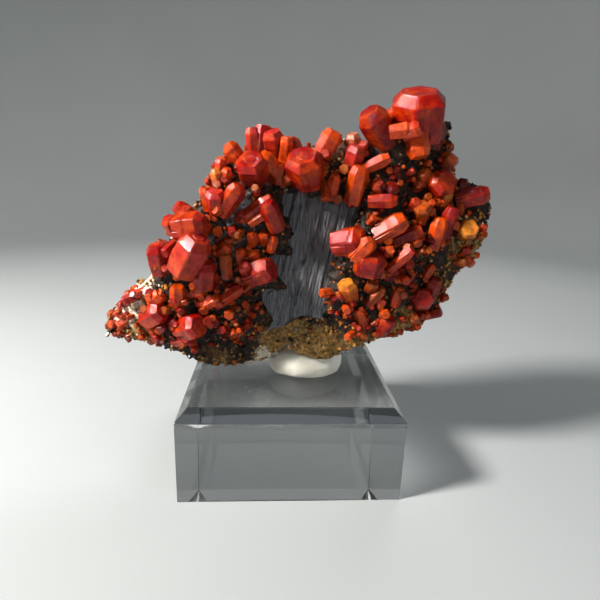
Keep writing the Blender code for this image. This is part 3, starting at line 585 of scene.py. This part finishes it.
def putty_material():
    """Matte, warm white putty with faint smudges."""
    n = Nodes("white_putty_detail")
    smudge = n.ramp(n.noise(260, 5.0), 0.35, 0.75)
    colour = n.mix(smudge, (0.86, 0.84, 0.77, 1), (0.70, 0.67, 0.58, 1))
    normal = n.bump(n.noise(900, 4.0), 0.12 * MM, 0.5)
    normal = n.bump(n.noise(4200, 3.0), 0.02 * MM, 0.6, normal)
    n.set(
        Base_Color=colour,
        Roughness=n.ramp(n.noise(500, 3.0), 0.3, 0.7, 0.45, 0.65),
        Subsurface_Weight=0.3,
        Subsurface_Radius=(1.0, 0.8, 0.6),
        Subsurface_Scale=1.5 * MM,
        Normal=normal,
    )
    return n.material


def block_material():
    """Clear, polished acrylic with a trace of haze."""
    n = Nodes("clear_acrylic_detail")
    haze = n.ramp(n.noise(350, 3.0), 0.4, 0.75, 0.0, 0.03)
    tint = n.ramp(n.noise(300, 3.0), 0.3, 0.7)
    n.set(
        Base_Color=n.mix(tint, (0.93, 0.95, 0.955, 1), (0.97, 0.98, 0.98, 1)),
        Roughness=n.math("ADD", haze, 0.005),
        IOR=1.49,
        Transmission_Weight=1.0,
        Normal=n.bump(n.noise(160, 2.0), 0.01 * MM, 0.04),
    )
    return n.material


def stage_material():
    """Plain, pale grey floor."""
    n = Nodes("studio_floor")
    tone = n.mix(n.noise(6, 3.0), (0.33, 0.35, 0.36, 1), (0.38, 0.40, 0.41, 1))
    n.set(Base_Color=tone, Roughness=0.85)
    return n.material


def add_object(name, mesh, surface):
    made = bpy.data.objects.new(name, mesh)
    bpy.context.collection.objects.link(made)
    mesh.materials.append(surface)
    return made


def add_mesh(name, verts, faces, surface):
    """Object from points in metres and faces."""
    mesh = bpy.data.meshes.new(name)
    mesh.from_pydata(verts, [], faces)
    return add_object(name, mesh, surface)


def add_bmesh(name, bm, surface, smooth):
    """Object from a bmesh, which is freed."""
    mesh = bpy.data.meshes.new(name)
    bm.to_mesh(mesh)
    bm.free()
    for face in mesh.polygons:
        face.use_smooth = smooth
    return add_object(name, mesh, surface)


def turn_outward(mesh):
    bm = bmesh.new()
    bm.from_mesh(mesh)
    bmesh.ops.recalc_face_normals(bm, faces=bm.faces)
    bm.to_mesh(mesh)
    bm.free()


def finish_piece(piece, slot, *nodes):
    """Hang a piece on the body, and hide the imported parts that it stands for."""
    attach(piece, "root")
    if nodes:
        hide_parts(*nodes)


def bake_modifiers(piece):
    """Turn the evaluated shape into the piece's own mesh."""
    evaluated = piece.evaluated_get(bpy.context.evaluated_depsgraph_get())
    shaped = bpy.data.meshes.new_from_object(evaluated)
    piece.modifiers.clear()
    piece.data = shaped


def crystal_matrix(crystal):
    """Place of a crystal whose length is along Z. Lift points it to the viewer."""
    lean = math.radians(crystal.lean)
    lift = math.radians(crystal.lift)
    axis = Vector((
        math.sin(lean) * math.cos(lift),
        -math.sin(lift),
        math.cos(lean) * math.cos(lift),
    ))
    turn = axis.to_track_quat("Z", "Y").to_matrix().to_4x4()
    place = Matrix.Translation(Vector((crystal.x, crystal.y, crystal.z)))
    return place @ turn @ Matrix.Rotation(math.radians(crystal.spin), 4, "Z")


def crystal_profile(chance, steps):
    """Rings of a barrel: share of the length, share of the radius."""
    rings = [(0.0, 0.86), (0.3, 0.945)]
    for _ in range(steps):
        at = chance.uniform(0.35, 0.72)
        rings.append((at, 0.955 + 0.03 * at))
        rings.append((at + STEP_RISE, 0.985 + 0.01 * at))
    rings = sorted(rings) + [(0.785, 1.0), (0.805, 0.985)]
    cap = chance.uniform(0.62, 0.76)
    rings += [(0.982, cap + 0.025), (1.0, cap)]
    inner = chance.uniform(0.5, 0.7) * cap
    rise = chance.choice(TIP_RISES)
    return rings + [(1.0, inner), (1.0 + rise, inner * 0.93)]


def crystal_ring(reaches, chamfer):
    """Hexagon with a narrow face in place of each corner."""
    corners = []
    for k, reach in enumerate(reaches):
        angle = math.tau * k / SIDES
        corners.append(Vector((reach * math.cos(angle), reach * math.sin(angle), 0)))
    ring = []
    for k in range(SIDES):
        for other in (corners[k - 1], corners[(k + 1) % SIDES]):
            ring.append(corners[k].lerp(other, chamfer))
    return ring


def side_faces(rings, size):
    """Faces between stacked rings of points."""
    faces = []
    for low in range(0, (rings - 1) * size, size):
        for k in range(size):
            after = (k + 1) % size
            faces.append((low + k, low + after, low + size + after, low + size + k))
    return faces


def crystal_shell(crystal, chance):
    """Points, faces and height shares of one crystal with narrow edge faces."""
    chamfer = chance.uniform(*CHAMFERS)
    widths = [chance.uniform(*SIDE_WIDTHS) for _ in range(SIDES)]
    rings = crystal_profile(chance, 2 if crystal.radius > TWO_STEPS_FROM else 1)
    matrix = crystal_matrix(crystal)
    points = []
    marks = []
    for share, width in rings:
        for point in crystal_ring([crystal.radius * width * side for side in widths], chamfer):
            point.z = (share - 0.5) * crystal.length
            points.append(matrix @ point)
            marks.append(share)
    faces = [tuple(reversed(range(RING)))] + side_faces(len(rings), RING)
    faces.append(tuple(range(len(points) - RING, len(points))))
    return points, faces, marks


def side_crystals(crystal, chance):
    """Smaller crystals that have grown side by side with a large one."""
    if crystal.radius < SIDE_CRYSTALS_FROM:
        return []
    grown = []
    matrix = crystal_matrix(crystal)
    for _ in range(3 if crystal.radius > THREE_SIDE_CRYSTALS_FROM else 2):
        angle = chance.uniform(0, math.tau)
        share = chance.uniform(0.34, 0.5)
        away = crystal.radius * (0.97 - share)
        length = crystal.length * chance.uniform(0.55, 0.86)
        offset = Vector((away * math.cos(angle), away * math.sin(angle), (length - crystal.length) / 2))
        place = matrix @ offset
        grown.append(crystal._replace(
            x=place.x, y=place.y, z=place.z, radius=crystal.radius * share, length=length,
            lean=crystal.lean + chance.uniform(-2, 2), lift=crystal.lift + chance.uniform(-2, 2),
        ))
    return grown


def crystal_tones(crystal, shares, chance):
    """Colour of each point, from the root's to the tip's."""
    root, tip = TONES[crystal.tone]
    shade = chance.uniform(*SHADES)
    tones = []
    for share in shares:
        blend = min(max(share, 0.0), 1.0) ** TONE_CURVE
        tones.append([shade * (a + (b - a) * blend) for a, b in zip(root, tip)] + [1.0])
    return tones


def write_tones(mesh, tones):
    layer = mesh.color_attributes.new("tone", "FLOAT_COLOR", "POINT")
    layer.data.foreach_set("color", np.array(tones, dtype=np.float32).ravel())


def write_growth(mesh, shares):
    """UV that runs around each crystal, and along its length."""
    growth = mesh.uv_layers.new(name="growth")
    for face in mesh.polygons:
        for loop in face.loop_indices:
            vert = mesh.loops[loop].vertex_index
            growth.data[loop].uv = (vert % RING / RING + face.index * FACE_SHIFT, shares[vert])


def crystal_piece(name, crystals, surface, seed):
    """One mesh of several crystals, with their tones and growth directions."""
    chance = random.Random(seed)
    verts, faces, shares, tones = [], [], [], []
    for crystal in crystals:
        for member in [crystal] + side_crystals(crystal, chance):
            points, shell, marks = crystal_shell(member, chance)
            first = len(verts)
            verts += [point * MM for point in points]
            faces += [tuple(first + i for i in face) for face in shell]
            shares += marks
            tones += crystal_tones(member, marks, chance)
    piece = add_mesh(name, verts, faces, surface)
    write_tones(piece.data, tones)
    write_growth(piece.data, shares)
    return piece


def outline(corners):
    return [Vector(corner) for corner in corners]


def rim_distance(corners, x, z):
    """Distances of many points to the edges of an outline."""
    nearest = np.full(len(x), np.inf)
    for start, end in zip(corners, corners[1:] + corners[:1]):
        along = np.array(end - start)
        share = ((x - start.x) * along[0] + (z - start.y) * along[1]) / (along @ along)
        share = np.clip(share, 0, 1)
        away = np.hypot(x - start.x - share * along[0], z - start.y - share * along[1])
        nearest = np.minimum(nearest, away)
    return nearest


def inside_outline(corners, x, z):
    """Which of many points lie inside an outline."""
    crossings = np.zeros(len(x), dtype=int)
    for start, end in zip(corners, corners[1:] + corners[:1]):
        if start.y == end.y:
            continue
        spans = (start.y > z) != (end.y > z)
        edge = start.x + (z - start.y) / (end.y - start.y) * (end.x - start.x)
        crossings += spans & (x < edge)
    return crossings % 2 == 1


def triangulate(corners, x, z):
    """Triangles inside an outline and through loose points."""
    points = list(corners) + [Vector(pair) for pair in zip(x, z)]
    loop = [(i, (i + 1) % len(corners)) for i in range(len(corners))]
    points, _, faces, *_ = geometry.delaunay_2d_cdt(points, loop, [], 0, WELD)
    middles = np.array([np.mean([points[i] for i in face], axis=0) for face in faces])
    keep = inside_outline(corners, middles[:, 0], middles[:, 1])
    return points, [tuple(face) for face, kept in zip(faces, keep) if kept]


def rock_middle(z):
    return MID_Y + LEAN * (z - FOOT_Z)


def roughness(x, z, layer):
    """Slow unevenness of the front, layer 0, or of the back, layer 1."""
    spots = [noise.noise(Vector((a, layer * LAYER_GAP, b)) / ROUGH_SCALE) for a, b in zip(x, z)]
    return ROUGH_HEIGHT * np.array(spots)


def blade_face(z):
    return BLADE_FACE_Y + LEAN * (z - BLADE_FACE_Z)


def front_y(x, z):
    """Show side of the rock: swellings, drawn to the crystals that root in it."""
    depth = rock_middle(z) - SKIN
    for s in SWELLINGS:
        away = np.hypot(x - s.x, z - s.z) / s.spread
        depth = depth - s.height * np.exp(-away * away / 2)
    total = FREE_WEIGHT * depth
    weights = np.full(len(x), FREE_WEIGHT)
    for crystal in (c for group in CLUSTERS.values() for c in group if c.lift > 0):
        away = np.hypot(x - crystal.x, z - crystal.z) / ROOT_REACH
        weight = np.exp(-away * away / 2)
        total += weight * (crystal.y + ROOT_SHARE * crystal.radius)
        weights += weight
    face = total / weights + roughness(x, z, 0)
    behind_blade = blade_face(z) + BLADE_THICKNESS / 2
    return np.where(inside_outline(outline(BLADE_OUTLINE), x, z), np.maximum(face, behind_blade), face)


def back_y(x, z, from_rim):
    """Back of the rock, which thins towards its rim."""
    rise = BACK_AT_RIM + (1 - BACK_AT_RIM) * np.minimum(from_rim / RIM_FADE, 1)
    return rock_middle(z) + BACK_DEPTH * rise + roughness(x, z, 1)


def offset_outline(corners, distance):
    """Outline moved outward, or inward by a negative distance."""
    moved = []
    for before, corner, after in zip(corners[-1:] + corners[:-1], corners, corners[1:] + corners[:1]):
        first = (corner - before).normalized()
        second = (after - corner).normalized()
        out = (Vector((-first.y, first.x)) + Vector((-second.y, second.x))).normalized()
        moved.append(corner + out * distance)
    return moved


def columns(points):
    """X and Z of flat points, as arrays."""
    return np.array([p.x for p in points]), np.array([p.y for p in points])


def rock_points(corners):
    """Scattered points well inside the rock's outline."""
    chance = np.random.default_rng(ROCK_SEED)
    x, z = np.meshgrid(np.arange(*ROCK_SPAN_X, ROCK_SPACING), np.arange(*ROCK_SPAN_Z, ROCK_SPACING))
    x = x.ravel() + chance.uniform(-ROCK_JITTER, ROCK_JITTER, x.size) * ROCK_SPACING
    z = z.ravel() + chance.uniform(-ROCK_JITTER, ROCK_JITTER, z.size) * ROCK_SPACING
    keep = inside_outline(corners, x, z) & (rim_distance(corners, x, z) > ROCK_MARGIN)
    return x[keep], z[keep]


def rock_base():
    """The closed rock, before its surface is roughened."""
    corners = outline(ROCK_OUTLINE)
    points, triangles = triangulate(corners, *rock_points(corners))
    x, z = columns(offset_outline(corners, -RIM_ROUND) + points[len(corners):])
    front = front_y(x, z)
    back = back_y(x, z, rim_distance(corners, x, z))
    count = len(x)
    verts = list(zip(x, front, z)) + list(zip(x, back, z))
    verts += [(c.x, (front[i] + back[i]) / 2, c.y) for i, c in enumerate(corners)]
    faces = triangles + [(c + count, b + count, a + count) for a, b, c in triangles]
    ring = 2 * count
    for a in range(len(corners)):
        b = (a + 1) % len(corners)
        faces.append((a, b, ring + b, ring + a))
        faces.append((ring + a, ring + b, count + b, count + a))
    return [tuple(value * MM for value in vert) for vert in verts], faces


def rock_piece():
    """Rock with an even, fine mesh that is roughened and marked."""
    surface = rock_material()
    piece = add_mesh("matrix_detail", *rock_base(), surface)
    turn_outward(piece.data)
    remesh = piece.modifiers.new("even", "REMESH")
    remesh.mode = "VOXEL"
    remesh.voxel_size = ROCK_VOXEL
    bake_modifiers(piece)
    mesh = piece.data
    roughen(mesh)
    mark_rock(mesh)
    for face in mesh.polygons:
        face.use_smooth = True
    mesh.materials.clear()
    mesh.materials.append(surface)
    return piece


def roughen(mesh):
    """Push the rock's points in and out along their normals."""
    normals = [normal.vector.copy() for normal in mesh.vertex_normals]
    for vert, normal in zip(mesh.vertices, normals):
        place = vert.co / MM
        crag = noise.hetero_terrain(place / CRAG_SIZE, 1.0, 2.0, 4, 0.6) - NOISE_MIDDLE
        grit = noise.turbulence(place / GRIT_SIZE, 3, True) - NOISE_MIDDLE
        move = CRAG_HEIGHT * max(min(crag, CRAG_LIMIT), -CRAG_LIMIT) + GRIT_HEIGHT * grit
        vert.co += normal * move * MM


def patch_weight(patches, x, z):
    weight = np.zeros(len(x))
    for patch in patches:
        away = np.hypot(x - patch.x, z - patch.z) / patch.radius
        weight = np.maximum(weight, patch.strength * np.exp(-away * away / 2))
    return weight


def side_weight(name, x, y, z):
    """How much of a tone each point shows, by the side of the rock it is on."""
    front = patch_weight(PATCHES[name], x, z)
    back = patch_weight(BACK_PATCHES[name], x, z)
    return np.where(y < rock_middle(z), front, back)


def mark_rock(mesh):
    """Write how much sand, cream and grey each point of the rock shows."""
    co = np.empty(len(mesh.vertices) * 3, dtype=np.float32)
    mesh.vertices.foreach_get("co", co)
    x, y, z = co.reshape(-1, 3).T / MM
    for name in PATCHES:
        layer = mesh.attributes.new(name, "FLOAT", "POINT")
        layer.data.foreach_set("value", side_weight(name, x, y, z).astype(np.float32))


def scatter(rock, count, chance):
    """Seeded places and normals on the rock, spread by area."""
    mesh = rock.data
    areas = np.empty(len(mesh.polygons), dtype=np.float32)
    centres = np.empty(len(mesh.polygons) * 3, dtype=np.float32)
    normals = np.empty(len(mesh.polygons) * 3, dtype=np.float32)
    mesh.polygons.foreach_get("area", areas)
    mesh.polygons.foreach_get("center", centres)
    mesh.polygons.foreach_get("normal", normals)
    picked = chance.choice(len(areas), count, p=areas / areas.sum())
    return centres.reshape(-1, 3)[picked] / MM, normals.reshape(-1, 3)[picked]


def prism_points(places, axes, radii, lengths, chance):
    """Rings of many six-sided crystals, root first."""
    axes = axes / np.linalg.norm(axes, axis=1, keepdims=True)
    helper = np.where(np.abs(axes[:, 2:3]) < 0.8, [[0.0, 0.0, 1.0]], [[1.0, 0.0, 0.0]])
    first = np.cross(axes, helper)
    first /= np.linalg.norm(first, axis=1, keepdims=True)
    second = np.cross(axes, first)
    spin = chance.uniform(0, math.tau, len(places))
    verts = np.empty((len(places), SIDES * len(PRISM_RINGS), 3))
    for row, (height, width) in enumerate(PRISM_RINGS):
        for k in range(SIDES):
            angle = spin + math.tau * k / SIDES
            side = first * np.cos(angle)[:, None] + second * np.sin(angle)[:, None]
            reach = (radii * width)[:, None] * side
            verts[:, row * SIDES + k] = places + reach + axes * (lengths * height)[:, None]
    return verts


def prism_mesh(name, places, axes, radii, lengths, tones, surface, chance):
    """Many small crystals with blunt tips and sunken, open roots, as one mesh."""
    verts = prism_points(places, axes, radii, lengths, chance)
    count, size = verts.shape[:2]
    shell = [tuple(range(size - SIDES, size))] + side_faces(len(PRISM_RINGS), SIDES)
    faces = [tuple(size * i + k for k in face) for i in range(count) for face in shell]
    piece = add_mesh(name, (verts.reshape(-1, 3) * MM).tolist(), faces, surface)
    colours = np.ones((count, size, 4))
    colours[:, :, :3] = tones[:, None, :]
    write_tones(piece.data, colours)
    piece.data.uv_layers.new(name="growth")
    return piece


def on_front(places):
    return places[:, 1] < rock_middle(places[:, 2])


def may_grow(places):
    """True where druse may grow: not on the blade, not against the putty."""
    blade = inside_outline(outline(BLADE_OUTLINE), places[:, 0], places[:, 2])
    putty = np.linalg.norm(places - np.array(PUTTY_CENTRE / MM), axis=1) < CLEAR_OF_PUTTY
    return ~(blade & on_front(places)) & ~putty


def tones_of_druse(places, chance):
    """A tone for each druse crystal, by the part of the rock it grows on."""
    count = len(places)
    draw = chance.uniform(0, 1, count)
    names = np.full(count, "black", dtype=object)
    names[draw > BROWN_FROM] = "brown"
    names[draw > AMBER_FROM] = "amber"
    for name, pair in DRUSE_PAIRS.items():
        hit = chance.uniform(0, PATCH_FILL, count) < side_weight(name, *places.T)
        names[hit] = np.where(chance.uniform(0, 1, count) < FIRST_OF_PAIR, *pair)[hit]
    return np.array([DRUSE_TONES[name] for name in names]) * chance.uniform(0.6, 1.4, (count, 1))


def druse_piece(rock):
    """Fine druse in black, brown, tan, cream and grey."""
    chance = np.random.default_rng(DRUSE_SEED)
    places, normals = scatter(rock, DRUSE_COUNT, chance)
    keep = may_grow(places)
    places, normals = places[keep], normals[keep]
    tones = tones_of_druse(places, chance)
    sizes = 0.12 + 0.26 * chance.uniform(0, 1, len(places)) ** 2
    axes = normals + chance.normal(0, 0.45, normals.shape)
    lengths = sizes * chance.uniform(1.6, 3.6, len(places))
    return prism_mesh("fine_druse", places, axes, sizes, lengths, tones, druse_material(), chance)


def small_crystal_spots(places):
    """Places that the small crystals take: some in each field, some at the back."""
    free = may_grow(places)
    front = on_front(places)
    chosen = set(np.flatnonzero(free & ~front)[:SMALL_AT_BACK])
    for field in SMALL_FIELDS:
        away = np.hypot(places[:, 0] - field.x, places[:, 2] - field.z)
        chosen.update(np.flatnonzero(free & front & (away < field.radius))[:field.count])
    return np.array(sorted(chosen))


def small_crystals_piece(rock, surface):
    """Small orange and red crystals between the large ones."""
    chance = np.random.default_rng(SMALL_SEED)
    places, normals = scatter(rock, SMALL_TRIES, chance)
    chosen = small_crystal_spots(places)
    places, normals = places[chosen], normals[chosen]
    count = len(places)
    names = chance.choice(["orange", "red", "amber"], count, p=[0.5, 0.3, 0.2])
    tones = np.array([DRUSE_TONES[name] for name in names]) * chance.uniform(0.7, 1.2, (count, 1))
    sizes = 0.36 + 0.65 * chance.uniform(0, 1, count) ** 2
    axes = normals + chance.normal(0, 0.5, normals.shape) + np.array([0, -0.2, 0.3])
    lengths = sizes * chance.uniform(2.4, 4.8, count)
    return prism_mesh("small_vanadinite", places, axes, sizes, lengths, tones, surface, chance)


def ripple(side, run, width, length, layer):
    return noise.noise(Vector((side / width, run / length, layer)))


def blade_relief(side, run):
    """Grooves along the blade, and shallow chips."""
    relief = []
    for s, r in zip(side, run):
        broad = ripple(s, r, width=1.6, length=22, layer=3.0)
        fine = ripple(s, r, width=0.45, length=9, layer=7.0)
        chips = max(ripple(s, r, width=2.0, length=2.0, layer=11.0) - CHIP_START, 0)
        relief.append(BROAD_GROOVE * broad + FINE_GROOVE * fine + CHIP_DEPTH * chips)
    return np.array(relief)


def blade_piece():
    """Grooved plate: a fine grid across the grooves, held to the outline."""
    corners = outline(BLADE_OUTLINE)
    along = Vector((math.sin(BLADE_TILT), math.cos(BLADE_TILT)))
    across = Vector((math.cos(BLADE_TILT), -math.sin(BLADE_TILT)))
    side, run = np.meshgrid(
        np.arange(*BLADE_SPAN_ACROSS, BLADE_STEP_ACROSS),
        np.arange(*BLADE_SPAN_ALONG, BLADE_STEP_ALONG),
    )
    x = side.ravel() * across.x + run.ravel() * along.x
    z = side.ravel() * across.y + run.ravel() * along.y
    keep = inside_outline(corners, x, z) & (rim_distance(corners, x, z) > BLADE_MARGIN)
    points, faces = triangulate(corners, x[keep], z[keep])
    x, z = columns(points)
    relief = blade_relief(x * across.x + z * across.y, x * along.x + z * along.y)
    front = blade_face(z) + relief + BLADE_SET_BACK
    back = blade_face(z) + BLADE_THICKNESS
    count = len(points)
    faces += [(c + count, b + count, a + count) for a, b, c in faces]
    for i in range(len(corners)):
        j = (i + 1) % len(corners)
        faces.append((i, j, count + j, count + i))
    verts = list(zip(x, front, z)) + list(zip(x, back, z))
    verts = [tuple(float(v) * MM for v in vert) for vert in verts]
    piece = add_mesh("striated_blade_detail", verts, faces, blade_material())
    turn_outward(piece.data)
    return piece


def putty_piece():
    """Pressed lump of putty with a soft, uneven surface."""
    bm = bmesh.new()
    bmesh.ops.create_icosphere(bm, subdivisions=5, radius=1.0)
    for vert in bm.verts:
        point = vert.co.copy()
        swell = 1.0 + 0.05 * noise.noise(point * 1.8) + 0.02 * noise.noise(point * 5.0)
        vert.co = Vector(point[i] * PUTTY_RADII[i] * swell for i in range(3)) + PUTTY_CENTRE
        vert.co.z = max(vert.co.z, PUTTY_FOOT)
    return add_bmesh("mounting_putty_detail", bm, putty_material(), smooth=True)


def block_piece():
    """Polished block with four wide top bevels and fine broken edges."""
    bm = bmesh.new()
    bmesh.ops.create_cube(bm, size=1.0)
    bmesh.ops.scale(bm, vec=(BLOCK_SIDE, BLOCK_SIDE, BLOCK_HEIGHT), verts=bm.verts)
    bmesh.ops.translate(bm, vec=(0, 0, BLOCK_HEIGHT / 2), verts=bm.verts)
    top_edges = [e for e in bm.edges if all(v.co.z > BLOCK_HEIGHT / 2 for v in e.verts)]
    bmesh.ops.bevel(bm, geom=top_edges, offset=BLOCK_BEVEL, segments=1, affect="EDGES")
    raised = [e for e in bm.edges if any(v.co.z > 0 for v in e.verts)]
    bmesh.ops.bevel(bm, geom=raised, offset=BLOCK_EDGE, segments=2, affect="EDGES", profile=0.5)
    return add_bmesh("acrylic_block_detail", bm, block_material(), smooth=False)


def make_stage():
    """A pale floor that curves up into a wall all round."""
    bm = bmesh.new()
    profile = [(0.0, 0.0), (FLOOR_REACH, 0.0)]
    for step in range(1, FLOOR_STEPS + 1):
        angle = math.pi / 2 * step / FLOOR_STEPS
        reach = FLOOR_REACH + FLOOR_CURVE * math.sin(angle)
        profile.append((reach, FLOOR_CURVE * (1 - math.cos(angle))))
    profile.append((FLOOR_REACH + FLOOR_CURVE, WALL_TOP))
    verts = [bm.verts.new((reach, 0, height - FLOOR_GAP)) for reach, height in profile]
    edges = [bm.edges.new(pair) for pair in zip(verts, verts[1:])]
    bmesh.ops.spin(
        bm, geom=verts + edges, cent=(0, 0, 0), axis=(0, 0, 1), angle=math.tau, steps=64,
    )
    bmesh.ops.remove_doubles(bm, verts=bm.verts, dist=1e-6)
    add_bmesh("studio_floor", bm, stage_material(), smooth=True)


def make_light(lamp):
    """A round, soft light that faces the specimen."""
    data = bpy.data.lights.new(lamp.name, "AREA")
    data.shape = "DISK"
    data.size = lamp.size * MM
    data.energy = lamp.power
    data.color = lamp.colour
    light = bpy.data.objects.new(lamp.name, data)
    light.location = Vector(lamp.place) * MM
    towards = Vector(LIGHT_TARGET) - Vector(lamp.place)
    light.rotation_euler = towards.to_track_quat("-Z", "Y").to_euler()
    light.visible_glossy = lamp.shines
    light.visible_transmission = lamp.shines
    bpy.context.collection.objects.link(light)


def make_world():
    """Dim, cool surroundings, and the tone curve of the picture."""
    world = bpy.data.worlds.new("studio")
    world.use_nodes = True
    sky = world.node_tree.nodes["Background"].inputs
    sky["Color"].default_value = SKY_COLOUR
    sky["Strength"].default_value = SKY_STRENGTH
    bpy.context.scene.world = world
    view = bpy.context.scene.view_settings
    view.view_transform = "Standard"
    view.exposure = EXPOSURE
    view.gamma = GAMMA


def make_crystals(materials):
    for number, (node, crystals) in enumerate(CLUSTERS.items()):
        slot = SLOT_OF_TONE[crystals[0].tone]
        piece = crystal_piece(node + "_detail", crystals, materials[slot], number + 1)
        finish_piece(piece, slot, node)


def build():
    make_camera()
    materials = {
        "red_vanadinite": crystal_material("red_vanadinite_detail", 0.30, 0.07),
        "orange_vanadinite": crystal_material("orange_vanadinite_detail", 0.40, 0.08),
        "amber_vanadinite": crystal_material("amber_vanadinite_detail", 0.35, 0.12),
        # Material for the crystals whose near-black and purplish tones are painted shade
        "dark_vanadinite": crystal_material("shaded_vanadinite_detail", 0.20, 0.07),
    }
    make_crystals(materials)
    rock = rock_piece()
    finish_piece(rock, "dark_matrix", "matrix")
    finish_piece(druse_piece(rock), "dark_matrix")
    finish_piece(small_crystals_piece(rock, materials["orange_vanadinite"]), "orange_vanadinite")
    finish_piece(blade_piece(), "grey_blade", "striated_blade")
    finish_piece(putty_piece(), "white_putty", "mounting_putty")
    finish_piece(block_piece(), "clear_acrylic", "acrylic_block")
    make_stage()
    for lamp in LAMPS:
        make_light(lamp)
    make_world()


build()
